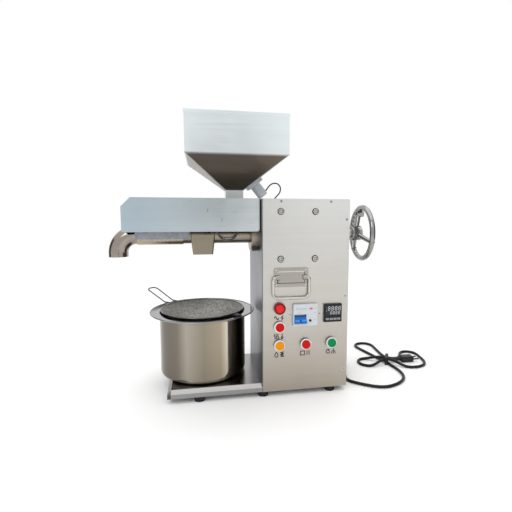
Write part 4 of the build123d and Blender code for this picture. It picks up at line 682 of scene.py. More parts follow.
# Pot: painted reflection bands round its axis and painted shade on its brim.
POT_STEEL = PolishedSteel(
    "pot_steel", (0.60, 0.53, 0.43), reflection_axis=(-0.11235, -0.00014),
    brim_from=0.2035, painted_brim_shade=(0.30, 0.30, 0.30),
    painted_reflections=(
        (0.0, (0.20, 0.18, 0.15)), (0.07, (0.13, 0.115, 0.095)), (0.10, (0.145, 0.13, 0.11)),
        (0.155, (0.18, 0.16, 0.13)), (0.19, (0.34, 0.31, 0.26)), (0.25, (0.25, 0.22, 0.17)),
        (0.31, (0.34, 0.29, 0.21)), (0.335, (0.58, 0.53, 0.43)), (0.36, (0.30, 0.25, 0.19)),
        (0.43, (0.27, 0.22, 0.165)), (0.48, (0.34, 0.30, 0.25)),
        (0.62, (0.55, 0.49, 0.40)), (0.85, (0.40, 0.36, 0.30)),
    ),
)
# Elbow and handwheel: their high contrast makes painted reflection streaks over the draw lines.
ELBOW_STEEL = PolishedSteel("elbow_steel", (0.31, 0.275, 0.24), 0.10, Axis.X, 0.35)
WHEEL_CHROME = PolishedSteel("wheel_chrome", (0.31, 0.31, 0.305), 0.08, Axis.X, 0.25)
BARREL_STEEL = MachinedMetal("barrel_steel", (0.28, 0.245, 0.195), 0.28)
BAND_STEEL = MachinedMetal("heater_steel", (0.42, 0.36, 0.27), 0.24)
PLATED_STEEL = MachinedMetal("plated_steel", (0.37, 0.35, 0.32), 0.20, 300.0, stain=0.05, bump_mm=0.003)
BAIL_STEEL = PolishedSteel("bail_steel", (0.55, 0.535, 0.50), 0.10, Axis.X, 0.12)
FASTENER_STEEL = MachinedMetal("fastener_steel", (0.52, 0.51, 0.49), 0.26)
SHAFT_STEEL = MachinedMetal("shaft_steel", (0.42, 0.42, 0.43), 0.30)
WIRE_STEEL = PolishedSteel("wire_steel", (0.16, 0.155, 0.15), 0.2)
MESH_STEEL = WovenWire("mesh_steel", (0.27, 0.265, 0.245), 3.0)
SHIELD_ZINC = SpangledZinc("shield_zinc", (0.34, 0.36, 0.39))
CAST_ALLOY = MachinedMetal("cast_alloy", (0.52, 0.53, 0.54), 0.5, 260.0, bump_mm=0.08)
BRONZE = MachinedMetal("worm_bronze", (0.60, 0.42, 0.18), 0.3)
MOTOR_ENAMEL = MouldedPlastic("motor_enamel", (0.16, 0.20, 0.24), 0.4, 900.0)
VIBRATOR_ENAMEL = MouldedPlastic("vibrator_enamel", (0.58, 0.62, 0.65), 0.34, 900.0, mottle=0.12)
BLACK_RUBBER = MouldedPlastic("black_rubber", (0.012, 0.012, 0.013), 0.6, 900.0, 0.05)
CORD_SHEATH = MouldedPlastic("cord_sheath", (0.009, 0.009, 0.010), 0.40, 700.0, 0.03)
BLACK_PLASTIC = MouldedPlastic("black_plastic", (0.014, 0.014, 0.016), 0.45)
GREY_PLASTIC = MouldedPlastic("key_plastic", (0.34, 0.35, 0.37), 0.42)
PLUG_PLASTIC = MouldedPlastic("plug_plastic", (0.022, 0.022, 0.026), 0.42)
# Bezels: painted shade on their sides behind the front ring.
BEZEL_PLASTIC = MouldedPlastic(
    "bezel_plastic", (0.80, 0.80, 0.78), 0.24, coat=0.3, mottle=0.05,
    painted_side_shade=(0.10, 0.10, 0.11), side_from=-0.1416,
)
LAMP_LENS = MouldedPlastic("lamp_lens", (0.64, 0.004, 0.003), 0.20, coat=0.15, glow=0.12)
LAMP_RING = MouldedPlastic("lamp_ring", (0.16, 0.003, 0.004), 0.26, coat=0.1)
RED_CAP = MouldedPlastic("red_cap", (0.54, 0.006, 0.004), 0.36, specular=0.12)
YELLOW_CAP = MouldedPlastic("yellow_cap", (0.78, 0.28, 0.003), 0.36, specular=0.12)
GREEN_CAP = MouldedPlastic("green_cap", (0.001, 0.23, 0.075), 0.36, specular=0.12)
WHITE_PLASTIC = MouldedPlastic("breaker_white", (0.60, 0.635, 0.66), 0.36, mottle=0.04)
BLUE_PLASTIC = MouldedPlastic("toggle_blue", (0.014, 0.14, 0.50), 0.34)
PALE_BLUE = MouldedPlastic("toggle_light", (0.045, 0.27, 0.70), 0.34)
PRINT_BLUE = MouldedPlastic("print_blue", (0.30, 0.50, 0.62), 0.5)
PRINT_GREY = MouldedPlastic("print_grey", (0.42, 0.44, 0.45), 0.5)
FLAG_RED = MouldedPlastic("flag_red", (0.70, 0.08, 0.04), 0.4)
PANEL_INK = MouldedPlastic("panel_ink", (0.020, 0.016, 0.014), 0.6)
DISPLAY_GLASS = MouldedPlastic("display_glass", (0.014, 0.014, 0.017), 0.16, coat=0.3, texture_mm=0.0)
# Unlit digits given a faint painted glow.
SEGMENT_PAINTED_GLOW = MouldedPlastic("segment_painted_glow", (0.62, 0.63, 0.64), 0.5, glow=0.1)
LEAD_BRAID = BraidedSleeve("lead_braid", (0.15, 0.15, 0.15), (0.03, 0.028, 0.026))
# Painted shade: dark inlays in the screw recesses and round the bolt sockets, and the dark washers round the
# bolt heads.
PAINTED_SHADE_DARK = MachinedMetal("painted_shade_dark", (0.035, 0.035, 0.035), 0.6)


@dataclass
class Cabinet:
    """Sheet-metal cabinet on its base with screws and feet."""

    wardrobe: Wardrobe
    cross_length: float = 4.6
    cross_width: float = 0.9
    cross_proud: float = 0.08
    cross_turn: float = 37.0
    back_from: float = 100.0
    washer_inner: float = 7.05
    washer_outer: float = 8.7
    washer_height: float = 0.9
    washer_room: float = 0.02
    # Ring of painted shade round each bolt's socket.
    socket_inner: float = 3.7
    socket_outer: float = 4.7

    def build(self) -> None:
        """Dress the sheets and add painted shade in the screws' cross recesses and round the reducer's bolts,
        as dark inlays and washers.
        """
        w = self.wardrobe
        w.dress(CABINET_STEEL, "wrap_panel", "service_cover", edge_mm=0.4)
        w.dress(SIDE_STEEL, "base_pan", edge_mm=0.4)
        w.dress(BLACK_RUBBER, "rubber_feet", edge_mm=0.8)
        w.dress(FASTENER_STEEL, "panel_screws", "gearbox_bolts")
        self.screw_recess_shade()
        self.bolt_washer_shade()

    def screw_recess_shade(self) -> None:
        """Draw the screw heads' cross recesses as dark inlays of painted shade."""
        shape = Shape()
        a, b = self.cross_length / 2, self.cross_width / 2
        cross = [
            (-a, -b), (-b, -b), (-b, -a), (b, -a), (b, -b), (a, -b),
            (a, b), (b, b), (b, a), (-b, a), (-b, b), (-a, b),
        ]
        for low, high in islands("panel_screws"):
            middle = (low + high) / 2
            plane = front_plane(middle.x, low.y, middle.z)
            if middle.y > self.back_from:
                plane = back_plane(middle.x, high.y, middle.z)
            turn = Matrix.Rotation(math.radians(self.cross_turn * round(middle.x + middle.z)), 4, "Z")
            shape.prism(cross, plane @ turn, self.cross_proud)
        shape.piece("screw_recess_shade", PAINTED_SHADE_DARK, self.wardrobe, slot="fastener_steel")

    def bolt_washer_shade(self) -> None:
        """Put a washer darkened as painted shade round each of the reducer's bolt heads and a dark edge of
        painted shade round its socket.
        """
        shape = Shape()
        for low, high in islands("gearbox_bolts"):
            middle = (low + high) / 2
            shape.ring(
                circle_outline(self.washer_inner), circle_outline(self.washer_outer),
                front_plane(middle.x, -self.washer_room, middle.z), self.washer_height,
            )
            shape.ring(
                circle_outline(self.socket_inner), circle_outline(self.socket_outer),
                front_plane(middle.x, low.y, middle.z), self.cross_proud,
            )
        shape.piece("bolt_washer_shade", PAINTED_SHADE_DARK, self.wardrobe, slot="fastener_steel")


@dataclass
class CarryHandles:
    """Drop handles on the front and the back."""

    wardrobe: Wardrobe

    def build(self) -> None:
        """Dress the plates, rivets and bails."""
        self.wardrobe.dress(PLATED_STEEL, "handle_plates", edge_mm=0.3)
        self.wardrobe.dress(BAIL_STEEL, "front_bail", "rear_bail", "handle_rivets")


@dataclass
class ControlPanel:
    """Lamp, push buttons, breaker, temperature controller and their signs."""

    wardrobe: Wardrobe
    left: float = 44.505
    pitch_x: float = 69.9975
    row: float = 138.0
    pitch_z: float = 48.5
    sign_drop: float = 25.5
    ink: float = 0.12
    stroke: float = 2.2
    glyph: Flat = (5.6, 6.6)
    glyph_pitch: float = 15.0
    ring_room: float = 0.3
    ring_proud: float = 0.5
    wave_bend: float = 1.3
    breaker: Flat = (111.88, 216.5)
    mould_lines: Sequence[Bar] = ((-10.5, 16.0, 0.5, 22.0), (10.5, 16.0, 0.5, 22.0), (0.0, 13.0, 62.0, 0.5))
    mould_proud: float = 0.25
    screw_shifts: Sequence[float] = (-22.0, 0.0, 22.0)
    screw_rise: float = 22.5
    screw_ring: Flat = (2.0, 2.8)
    screw_proud: float = 0.35
    toggle_pivot: Point = (-2.0, 207.0, 36.0)
    toggle_face: Flat = (-11.2, 3.5)
    lever_share: float = 0.27
    lever_cap: Point = (12.5, 7.0, 1.0)
    lever_proud: Flat = (0.4, 0.15)
    blue_bars: Sequence[Bar] = ((-11.0, 17.0, 30.0, 2.0),)
    grey_bars: Sequence[Bar] = (
        (25.0, 17.0, 7.0, 1.4), (25.0, 6.0, 7.0, 1.4), (-18.0, 6.0, 9.0, 1.2), (24.0, -12.0, 7.0, 1.4),
    )
    flag: Point = (8.0, 4.0, 0.8)
    flag_place: Flat = (14.0, 17.0)
    flag_proud: Flat = (0.3, 0.1)
    window: Point = (187.0, -6.0, 224.5)
    window_size: Flat = (41.0, 26.0)
    pane_corner: float = 1.0
    pane_proud: float = 0.35
    digit_front: float = 0.36
    digit_proud: float = 0.08
    digit_rows: Sequence[Sequence[float]] = ((5.6, 6.2, 10.2, 9.4, 3.2), (-6.2, 4.6, 7.6, 7.4, 5.6))
    ticks: Sequence[Bar] = tuple((-18.4, 8.6 - 3.6 * i, 1.2, 0.7) for i in range(4))
    arrow: Sequence[Flat] = ((-1.2, -1.5), (1.6, 0.0), (-1.2, 1.5))

    def build(self) -> None:
        """Dress the controls and add what is finer than the CAD."""
        w = self.wardrobe
        w.dress(BEZEL_PLASTIC, "control_bezels", edge_mm=0.6)
        w.dress(LAMP_LENS, "power_lamp")
        w.dress(RED_CAP, "heat_button", "stop_button")
        w.dress(YELLOW_CAP, "press_button")
        w.dress(GREEN_CAP, "clean_button")
        w.dress(BLACK_PLASTIC, "contact_blocks", "breaker_test_button", "controller_case", edge_mm=0.3)
        w.dress(WHITE_PLASTIC, "breaker_body", edge_mm=0.8)
        w.dress(BLUE_PLASTIC, "breaker_toggle", edge_mm=0.4)
        w.dress(GREY_PLASTIC, "set_key", "shift_key", "down_key", "up_key", edge_mm=0.3)
        self.lamp_ring()
        self.signs()
        self.display()
        self.breaker_trim()

    def strokes(self, shape: Shape, plane: Matrix, line: Sequence[Flat]) -> None:
        """Draw a line of even width on a plane, one flat bar per run."""
        for (x0, y0), (x1, y1) in zip(line, line[1:]):
            long = math.hypot(x1 - x0, y1 - y0)
            turn = Matrix.Rotation(math.atan2(y1 - y0, x1 - x0), 4, "Z")
            run = plane @ Matrix.Translation(((x0 + x1) / 2, (y0 + y1) / 2, 0.0)) @ turn
            shape.prism(box_outline(long + self.stroke * 0.4, self.stroke), run, self.ink)

    def bars(self, shape: Shape, plane: Matrix, bars: Sequence[Bar], depth: float) -> None:
        """Add flat bars to a plane, each by its middle across and up, its width and its height."""
        for across, up, wide, tall in bars:
            shape.prism(box_outline(wide, tall, across, up), plane, depth)

    def lamp_ring(self) -> None:
        """Put the lamp's dark red collar over its bezel."""
        lens_low, lens_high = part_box("power_lamp")
        low, high = max(islands("control_bezels"), key=lambda box: box[0].z)
        middle = (low + high) / 2
        shape = Shape()
        shape.ring(
            circle_outline((lens_high.x - lens_low.x) / 2 / MM + self.ring_room),
            circle_outline((high.x - low.x) / 2 + self.ring_room),
            front_plane(middle.x, high.y if high.y < 0 else -self.ink, middle.z),
            -low.y + self.ring_proud - self.ink,
        )
        shape.piece("lamp_ring", LAMP_RING, self.wardrobe, slot="lamp_red")

    def signs(self) -> None:
        """Print two plain pictograms under each control."""
        shape = Shape()
        half, high = self.glyph
        edge, turn = high * 0.8, 2 * math.pi

        def curve(shift: float) -> list[Flat]:
            """Return an upright wavy line."""
            return [(shift + self.wave_bend * math.sin(turn * i / 16), high * (i / 8 - 1)) for i in range(17)]

        def arc(radius: float, first: float, last: float, x: float = 0.0, y: float = 0.0) -> list[Flat]:
            """Return an arc of a circle, angles in degrees."""
            steps = [math.radians(first + (last - first) * i / 20) for i in range(21)]
            return [(x + radius * math.cos(t), y + radius * math.sin(t)) for t in steps]

        wave = [(half * (i / 12 - 1), high * 0.6 * math.sin(turn * i / 24)) for i in range(25)]
        bolt = [(half * 0.4, high), (-half * 0.5, 0.0), (half * 0.5, 0.0), (-half * 0.4, -high)]
        drop = [
            (half * math.sin(t) * math.sin(t / 2) ** 1.2, high * math.cos(t))
            for t in (turn * i / 28 for i in range(28))
        ]
        screw = [(half * 0.8 * (-1) ** i, high * (1 - i / 3)) for i in range(7)]
        heat = [curve(shift) for shift in (-half * 0.8, 0.0, half * 0.8)]
        stem = [[(0.0, high), (0.0, -high * 0.2)], arc(half * 0.45, 90, 449, 0.0, -high * 0.55)]
        square = [[(-half, -edge), (half, -edge), (half, edge), (-half, edge), (-half, -high * 0.9)]]
        pause = [[(x, edge), (x, -edge)] for x in (-half * 0.5, half * 0.5)]
        spin = [arc(edge, 60, 350), [(half * 0.1, high), (half * 0.7, high * 0.5), (0.0, high * 0.1)]]
        sweep = [[(x, high * 0.2), (x * 1.5, -high)] for x in (-half * 0.6, 0.0, half * 0.6)]
        sweep.append([(0.0, high), (0.0, high * 0.2)])
        signs = (
            (0, 2, ([wave], [bolt])), (0, 1, (heat, stem)), (0, 0, ([drop + drop[:1]], [screw])),
            (1, 0, (square, pause)), (2, 0, (spin, sweep)),
        )
        for column, row, pair in signs:
            for side, lines in zip((-1, 1), pair):
                x = self.left + column * self.pitch_x + side * self.glyph_pitch / 2
                z = self.row + row * self.pitch_z - self.sign_drop
                for line in lines:
                    self.strokes(shape, front_plane(x, 0.0, z), line)
        shape.piece("panel_signs", PANEL_INK, self.wardrobe)

    def display(self) -> None:
        """Fill the controller's window with a dark pane, two rows of unlit digits with a faint painted glow,
        and key marks.
        """
        x, y, z = self.window
        pane = Shape()
        width, height = self.window_size
        pane.prism(rounded_outline(width, height, self.pane_corner), front_plane(x, y, z), self.pane_proud)
        pane.piece("display_pane", DISPLAY_GLASS, self.wardrobe, slot="controller_black")
        digits = Shape()
        front = y - self.digit_front
        for rise, wide, tall, pitch, shift in self.digit_rows:
            for i in range(4):
                centre = (i - 1.5) * pitch + shift
                self.digit(digits, front_plane(x + centre, front, z + rise), wide, tall)
        self.bars(digits, front_plane(x, front, z), self.ticks, self.digit_proud)
        digits.piece("display_digits", SEGMENT_PAINTED_GLOW, self.wardrobe, slot="key_grey")
        for name, turn in (("set_key", None), ("shift_key", 180.0), ("down_key", 270.0), ("up_key", 90.0)):
            low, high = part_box(name)
            middle = (low + high) / 2 / MM - DATUM_SHIFT
            mark = Shape()
            plane = front_plane(middle.x, low.y / MM - DATUM_SHIFT.y, middle.z)
            if turn is None:
                mark.ring(circle_outline(0.8, 16), circle_outline(1.4, 16), plane, self.ink)
            else:
                plane = plane @ Matrix.Rotation(math.radians(turn), 4, "Z")
                mark.prism(self.arrow, plane, self.ink)
            mark.piece(f"{name}_mark", PANEL_INK, self.wardrobe, body=name, slot="key_grey")

    def digit(self, shape: Shape, plane: Matrix, width: float, height: float) -> None:
        """Add the seven bars of a digit that leans a little."""
        bar, gap = width * 0.19, 0.18
        half = height / 2
        lean = Matrix.Identity(4)
        lean[0][1] = 0.10
        base = plane @ lean
        bars = [(0.0, y, width - 2 * bar - gap, bar) for y in (-half, 0.0, half)]
        for x in (-width / 2 + bar / 2, width / 2 - bar / 2):
            bars += [(x, y, bar, half - bar - gap) for y in (-half / 2, half / 2)]
        self.bars(shape, base, bars, self.digit_proud)

    def breaker_trim(self) -> None:
        """Add the breaker's mould lines, screw rings, lever caps, printed bars and state flag."""
        trim = Shape()
        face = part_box("breaker_body")[0].y / MM - DATUM_SHIFT.y
        x, z = self.breaker
        front = front_plane(x, face, z)
        self.bars(trim, front, self.mould_lines, self.mould_proud)
        inner, outer = (circle_outline(radius, 24) for radius in self.screw_ring)
        for shift in self.screw_shifts:
            trim.ring(inner, outer, front_plane(x + shift, face, z + self.screw_rise), self.screw_proud)
        trim.piece("breaker_trim", WHITE_PLASTIC, self.wardrobe, slot="breaker_white")
        lever = Shape()
        low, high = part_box("breaker_toggle")
        middle = (low + high) / 2 / MM - DATUM_SHIFT
        pivot_y, pivot_z, angle = self.toggle_pivot
        tilt = Matrix.Translation((middle.x, pivot_y, pivot_z)) @ Matrix.Rotation(math.radians(angle), 4, "X")
        along, rise = self.toggle_face
        for side in (-1, 1):
            spot = tilt @ Matrix.Translation((side * (high.x - low.x) / MM * self.lever_share, along, rise))
            lever.prism(rounded_outline(*self.lever_cap), spot, *self.lever_proud)
        lever.piece("toggle_levers", PALE_BLUE, self.wardrobe, body="breaker_toggle", slot="toggle_blue")
        for name, finish, bars in (
            ("breaker_line", PRINT_BLUE, self.blue_bars),
            ("breaker_marks", PRINT_GREY, self.grey_bars),
        ):
            marks = Shape()
            self.bars(marks, front, bars, self.ink)
            marks.piece(name, finish, self.wardrobe, slot="breaker_white")
        across, up = self.flag_place
        flag = Shape()
        flag.prism(rounded_outline(*self.flag), front_plane(x + across, face, z + up), *self.flag_proud)
        flag.piece("breaker_flag", FLAG_RED, self.wardrobe, slot="button_red")


@dataclass
class Drive:
    """Handwheel, shaft and the reducer and motor inside the cabinet."""

    wardrobe: Wardrobe

    def build(self) -> None:
        """Dress the drive's pieces."""
        w = self.wardrobe
        w.dress(WHEEL_CHROME, "handwheel")
        w.dress(SHAFT_STEEL, "main_shaft", "worm_shaft", "motor_rotor", "press_screw", "gearbox_bearings")
        w.dress(CAST_ALLOY, "gearbox_housing", "gearbox_cover", "output_flange", "run_capacitor")
        w.dress(BRONZE, "worm_wheel")
        w.dress(MOTOR_ENAMEL, "motor_housing")
        w.dress(BLACK_PLASTIC, "motor_fan")


@dataclass
class Press:
    """Barrel with its heater, shield, outlet, chute and cover."""

    wardrobe: Wardrobe
    cover_front: float = 21.0
    tab_spots: Sequence[Flat] = ((-132.1, 482.1), (-97.2, 459.6))
    tab_height: float = 6.0
    tab_foot: float = 3.4
    tab_width: float = 1.1
    tab_proud: float = 0.5

    def build(self) -> None:
        """Dress the press and add the lanced tab ends on the cover."""
        w = self.wardrobe
        w.dress(BARREL_STEEL, "press_barrel", "choke_ring", "barrel_collar", edge_mm=0.5)
        w.dress(BAND_STEEL, "heater_band")
        w.dress(ELBOW_STEEL, "cake_elbow")
        w.dress(SHIELD_ZINC, "heat_shield")
        w.dress(CHUTE_STEEL, "oil_chute")
        w.dress(COVER_STEEL, "press_cover", edge_mm=0.5)
        shape = Shape()
        tall, foot, wide = self.tab_height, self.tab_foot, self.tab_width
        hook = [(-foot, -wide), (0, -wide), (0, tall), (-wide, tall), (-wide, 0), (-foot, 0)]
        for x, z in self.tab_spots:
            shape.prism(hook, front_plane(x, self.cover_front, z), self.tab_proud)
        shape.piece("cover_tabs", CHUTE_STEEL, w, slot="cover_steel")


@dataclass
class FeedHopper:
    """Hopper on its neck with the vibrator."""

    wardrobe: Wardrobe
    centre: Flat = (-62.0, 88.0)
    neck_half: float = 22.5
    mouth_half: float = 122.5
    neck_top: float = 537.0
    slope_top: float = 616.0
    weld: float = 0.9

    def build(self) -> None:
        """Dress the hopper and run weld beads down its corners."""
        w = self.wardrobe
        w.dress(HOPPER_STEEL, "hopper", edge_mm=0.5)
        w.dress(NECK_STEEL, "feed_neck", edge_mm=0.5)
        w.dress(VIBRATOR_ENAMEL, "vibrator_flange", "vibrator_can", edge_mm=0.5)
        shape = Shape()
        cx, cy = self.centre
        for sx in (-1, 1):
            for sy in (-1, 1):
                low = (cx + sx * self.neck_half, cy + sy * self.neck_half, self.neck_top)
                high = (cx + sx * self.mouth_half, cy + sy * self.mouth_half, self.slope_top)
                shape.bead([low, high], self.weld)
        shape.piece("hopper_welds", NECK_STEEL, w, slot="hopper_steel")


@dataclass
class OilPot:
    """Pot with the strainer in its mouth."""

    wardrobe: Wardrobe
    centre: Flat = (-148.0, 135.0)
    lug_angle: float = 314.0
    lug_middle: float = 127.0
    lug_low: float = 208.32
    sleeve: Point = (19.0, 16.0, 4.6)
    sleeve_edge: float = 1.0

    def build(self) -> None:
        """Dress the pot and the strainer and put a black sleeve on its rest lug."""
        w = self.wardrobe
        x, y = self.centre
        long, wide, tall = self.sleeve
        place = Matrix.Translation((x, y, self.lug_low)) @ Matrix.Rotation(math.radians(self.lug_angle), 4, "Z")
        shape = Shape()
        shape.prism(box_outline(long, wide, self.lug_middle), place, tall, self.sleeve_edge)
        shape.piece("lug_sleeve", BLACK_PLASTIC, w, body="strainer", slot="black_plastic")
        w.dress(POT_STEEL, "pot")
        w.dress(MESH_STEEL, "strainer_mesh")
        w.dress(WIRE_STEEL, "strainer_frame")


@dataclass
class Lead:
    """A round lead that follows a smooth line through the points of its route."""

    wardrobe: Wardrobe
    name: str
    finish: Finish
    slot: str
    radius: float
    points: Sequence[Point]
    replaced: Sequence[str]

    def build(self) -> bpy.types.Object:
        """Return the lead as a curve that stands for its CAD nodes."""
        curve = bpy.data.curves.new(self.name, "CURVE")
        curve.dimensions = "3D"
        spline = curve.splines.new("NURBS")
        spline.points.add(len(self.points) - 1)
        for point, place in zip(spline.points, self.points):
            point.co = (*at(*place), 1.0)
        spline.order_u = 3
        spline.use_endpoint_u = True
        spline.resolution_u = 8
        curve.bevel_depth = self.radius * MM
        curve.bevel_resolution = 4
        curve.use_fill_caps = True
        piece = bpy.data.objects.new(self.name, curve)
        bpy.context.scene.collection.objects.link(piece)
        curve.materials.append(self.wardrobe.get(self.finish))
        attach(piece, MACHINE)
        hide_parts(*self.replaced)
        LOG.info("laid %s", self.name)
        return piece


@dataclass
class MainsLead:
    """Mains cord from the gland to a tied hank with its plug; points without a height lie on the floor."""

    wardrobe: Wardrobe
    diameter: float = 8.5
    length: float = 1.54
    waist: Flat = (430.0, 160.0)
    route: Sequence[Sequence[float]] = (
        (246.0, 215.0, 46.0), (260.0, 215.0, 46.0), (274.0, 211.5, 45.0), (285.0, 202.5, 41.5),
        (290.5, 189.0, 36.5), (290.5, 172.0, 30.0), (285.0, 152.0, 22.5), (275.5, 129.0, 14.5),
        (266.0, 103.0, 8.0), (258.0, 78.0, 5.2), (254.0, 60.0), (259.0, 44.0), (272.0, 30.0), (291.0, 14.0),
        (314.0, -2.0), (339.0, -10.0), (364.0, -6.0), (390.0, 6.0), (413.0, 24.0), (428.0, 48.0), (434.0, 75.0),
        (433.5, 102.0), (431.0, 122.0), (429.0, 139.0),
    )
    hank: Sequence[Sequence[float]] = (
        (-4.0, -6.0, 6.4), (-7.8, 9.5, 6.4), (-11.7, 25.2, 4.7), (-15.6, 41.0), (-19.5, 56.7), (-23.3, 72.4),
        (-27.2, 88.1), (-31.1, 103.9), (-35.0, 119.6), (-38.8, 135.3), (-41.5, 151.1), (-37.4, 166.4),
        (-26.1, 177.9), (-10.2, 182.2), (5.0, 178.8), (16.6, 167.7), (21.2, 151.9), (19.8, 135.6),
        (18.1, 119.3), (16.6, 103.1), (15.0, 87.0), (13.5, 71.0), (13.0, 61.0), (13.0, 50.0), (15.6, 38.2),
        (23.0, 28.6), (33.8, 23.0), (45.9, 22.4), (57.1, 27.1), (65.3, 36.0), (72.3, 48.1), (79.3, 60.3),
        (87.4, 69.2), (98.6, 73.9), (110.8, 73.4), (121.5, 67.8), (128.9, 58.1), (131.5, 46.3), (130.6, 33.0),
        (128.4, 18.5), (126.0, 4.0), (123.3, -10.5), (119.0, -24.0), (112.2, -36.0), (102.6, -45.8),
        (90.8, -52.6), (77.6, -56.4), (64.0, -57.0), (51.6, -54.6, 4.3), (40.0, -48.0, 5.2), (30.2, -38.8, 8.0),
        (21.2, -28.0, 12.2), (11.8, -17.0, 15.5), (-1.2, -10.2, 15.7), (-17.1, -9.6, 15.6),
        (-32.4, -14.8, 12.5), (-47.3, -20.8, 7.6), (-63.1, -23.6, 4.45), (-78.0, -18.5), (-88.3, -6.4),
        (-91.0, 9.0), (-87.4, 22.0), (-79.5, 32.0), (-68.0, 37.6), (-56.0, 38.0, 4.5), (-44.0, 33.4, 7.1),
        (-29.8, 24.0, 12.1), (-16.4, 15.6, 15.5), (-1.0, 8.0, 14.7), (14.2, 3.0, 10.4), (30.0, 2.0, 9.5),
    )

    def points(self) -> list[Point]:
        """Return the cord's control points, from the gland to the plug."""
        points = []
        for (x, y), line in (((0.0, 0.0), self.route), (self.waist, self.hank)):
            for px, py, *pz in line:
                points.append((x + px, y + py, pz[0] if pz else self.diameter / 2))
        return points

    def build(self) -> None:
        w = self.wardrobe
        points = self.points()
        cord = Lead(
            w, "mains_lead", CORD_SHEATH, "cord_black", self.diameter / 2, points, ("mains_cord", "cord_hank")
        ).build()
        w.dress(BLACK_PLASTIC, "cable_gland", "cord_tie", edge_mm=0.4)
        w.dress(PLUG_PLASTIC, "mains_plug")


@dataclass
class ShortLeads:
    """Leads of the heater and the vibrator, which run back into the machine."""

    wardrobe: Wardrobe
    axis: Flat = (88.0, 422.0)
    top: float = 514.0
    heater: Sequence[Point] = (
        (-206.0, 0.0, 31.0), (-190.0, 0.0, 31.0), (-173.0, -6.0, 36.0), (-156.0, -15.0, 41.0),
        (-138.0, -24.0, 41.0), (-121.0, -30.0, 33.0), (-112.0, -30.5, 18.0), (-107.0, -30.5, 2.0),
        (-98.0, -30.5, -11.0),
        (-82.0, -30.5, -16.0), (-66.0, -30.5, -11.0), (-57.0, -30.5, 2.0), (-52.0, -30.5, 18.0),
        (-43.0, -30.5, 33.0), (-28.0, -30.5, 41.0), (-12.0, -30.5, 43.5), (4.0, -30.5, 44.0),
    )
    heater_radius: float = 2.5
    heater_length: float = 0.275
    vibrator: Sequence[Point] = (
        (24.07, 0.0, 23.5), (31.0, 0.5, 35.0), (42.0, 1.0, 44.0), (56.0, 2.0, 44.5), (65.5, 2.8, 34.5),
        (64.5, 3.4, 20.5), (55.0, 3.8, 9.5), (45.5, 4.0, 0.0), (41.0, 4.5, -10.0),
    )
    vibrator_radius: float = 1.7
    vibrator_length: float = 0.105

    def build(self) -> None:
        y0, z0 = self.axis
        heater = [(x, y0 + y, z0 + z) for x, y, z in self.heater]
        piece = Lead(
            self.wardrobe, "heater_wire", LEAD_BRAID, "lead_braid", self.heater_radius, heater, ("heater_lead",)
        ).build()
        vibrator = [(x, y0 + y, self.top + z) for x, y, z in self.vibrator]
        piece = Lead(
            self.wardrobe, "vibrator_wire", CORD_SHEATH, "cord_black", self.vibrator_radius, vibrator,
            ("vibrator_lead",),
        ).build()


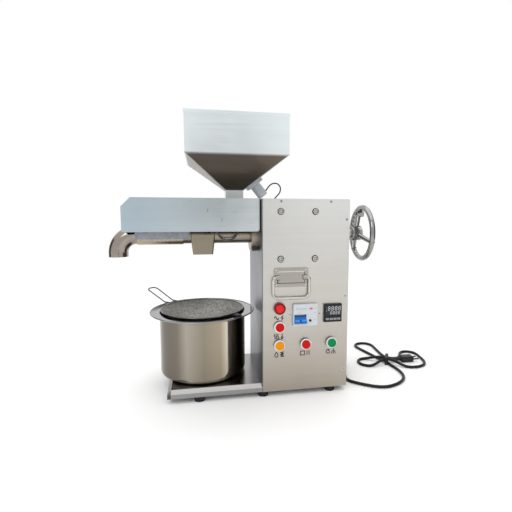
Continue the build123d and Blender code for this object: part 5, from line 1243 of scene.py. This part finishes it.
@dataclass
class Studio:
    """Camera, floor, lamps and reflection cards."""

    eye: Point = (-154.67, -953.02, 476.94)
    yaw: float = 0.187
    pitch: float = 0.105
    roll: float = -0.002
    focal_px: float = 387.2
    image_px: float = 512.0
    middle_px: Flat = (272.3, 254.3)
    light: float = 1.0
    far: float = 12.0

    def build(self) -> None:
        """Set up the view, the light and the stage."""
        self.camera()
        self.world()
        self.board("floor", self.far, self.far, (1.0, 1.0, 1.0))
        self.lamp("top", (0.0, 0.0, 2.6), (0.0, 0.0, 0.0), 3.0, 24.0)
        self.lamp("key", (-1.2, -1.7, 1.8), (0.0, 0.0, 0.35), 0.9, 7.0)
        self.card("card_right", (1.5, -0.5, 0.65), 1.3, 1.1, (0.06, 0.055, 0.05))
        self.card("card_left", (-1.9, 0.5, 0.6), 1.2, 1.1, (0.10, 0.11, 0.13))
        self.card("card_front", (0.1, -2.6, 0.75), 0.5, 1.2, (0.05, 0.045, 0.04))
        bpy.context.scene.view_settings.view_transform = "Standard"

    def camera(self) -> None:
        """Place the camera where the photograph's fit puts it."""
        cy, sy, cp, sp = math.cos(self.yaw), math.sin(self.yaw), math.cos(self.pitch), math.sin(self.pitch)
        ahead = Vector((sy * cp, cy * cp, -sp))
        right = Vector((cy, -sy, 0.0))
        up = right.cross(ahead)
        turn = Matrix((right, up, -ahead)).transposed().to_4x4()
        data = bpy.data.cameras.new("camera")
        data.sensor_width = 36.0
        data.lens = self.focal_px / self.image_px * data.sensor_width
        data.shift_x = (self.image_px / 2 - self.middle_px[0]) / self.image_px
        data.shift_y = (self.middle_px[1] - self.image_px / 2) / self.image_px
        data.clip_start, data.clip_end = 0.01, 50.0
        camera = bpy.data.objects.new("camera", data)
        camera.matrix_world = Matrix.Translation(at(*self.eye)) @ turn @ Matrix.Rotation(-self.roll, 4, "Z")
        bpy.context.scene.collection.objects.link(camera)
        bpy.context.scene.camera = camera

    def world(self) -> None:
        """Make the surroundings an even white."""
        world = bpy.data.worlds.new("studio")
        world.use_nodes = True
        bpy.context.scene.world = world
        back = world.node_tree.nodes["Background"]
        back.inputs["Color"].default_value = (1.0, 1.0, 1.0, 1.0)
        back.inputs["Strength"].default_value = self.light

    def board(self, name: str, half_width: float, half_height: float, shade: Colour) -> bpy.types.Object:
        """Return a flat matt rectangle of the stage about the origin.

        Args:
            name: its name.
            half_width: half its width in metres.
            half_height: half its height in metres.
            shade: its colour.

        Returns:
            The rectangle.
        """
        a, b = half_width, half_height
        mesh = bpy.data.meshes.new(name)
        mesh.from_pydata([(-a, -b, 0), (a, -b, 0), (a, b, 0), (-a, b, 0)], [], [(0, 1, 2, 3)])
        board = bpy.data.objects.new(name, mesh)
        bpy.context.scene.collection.objects.link(board)
        g = Graph(name)
        g.surface(Base_Color=shade, Roughness=1.0, Specular_IOR_Level=0.0)
        mesh.materials.append(g.material)
        return board

    def card(self, name: str, place: Point, width: float, height: float, shade: Colour) -> None:
        """Stand a dark card outside the view for the metal to reflect.

        Args:
            name: the card's name.
            place: its middle, row frame, metres.
            width: its width in metres.
            height: its height in metres.
            shade: its colour.
        """
        card = self.board(name, width / 2, height / 2, shade)
        card.location = place
        facing = Vector((-place[0], -place[1], 0.0))
        card.rotation_euler = facing.to_track_quat("Z", "Y").to_euler()
        card.visible_camera = False

    def lamp(self, name: str, place: Point, target: Point, size: float, power: float) -> None:
        """Hang a square soft lamp.

        Args:
            name: the lamp's name.
            place: where it hangs, row frame, metres.
            target: the point it faces.
            size: its side in metres.
            power: its power in watts.
        """
        data = bpy.data.lights.new(name, "AREA")
        data.size = size
        data.energy = power
        lamp = bpy.data.objects.new(name, data)
        lamp.location = place
        lamp.rotation_euler = (Vector(target) - Vector(place)).to_track_quat("-Z", "Y").to_euler()
        bpy.context.scene.collection.objects.link(lamp)


def main() -> None:
    """Build every sub-assembly in order."""
    logging.basicConfig(level=logging.INFO, format="%(message)s")
    Studio().build()
    wardrobe = Wardrobe()
    MainsLead(wardrobe).build()
    ShortLeads(wardrobe).build()
    for assembly in (Cabinet, CarryHandles, ControlPanel, Drive, Press, FeedHopper, OilPot):
        assembly(wardrobe).build()
        LOG.info("%s is done", assembly.__name__)


if __name__ == "__main__":
    main()
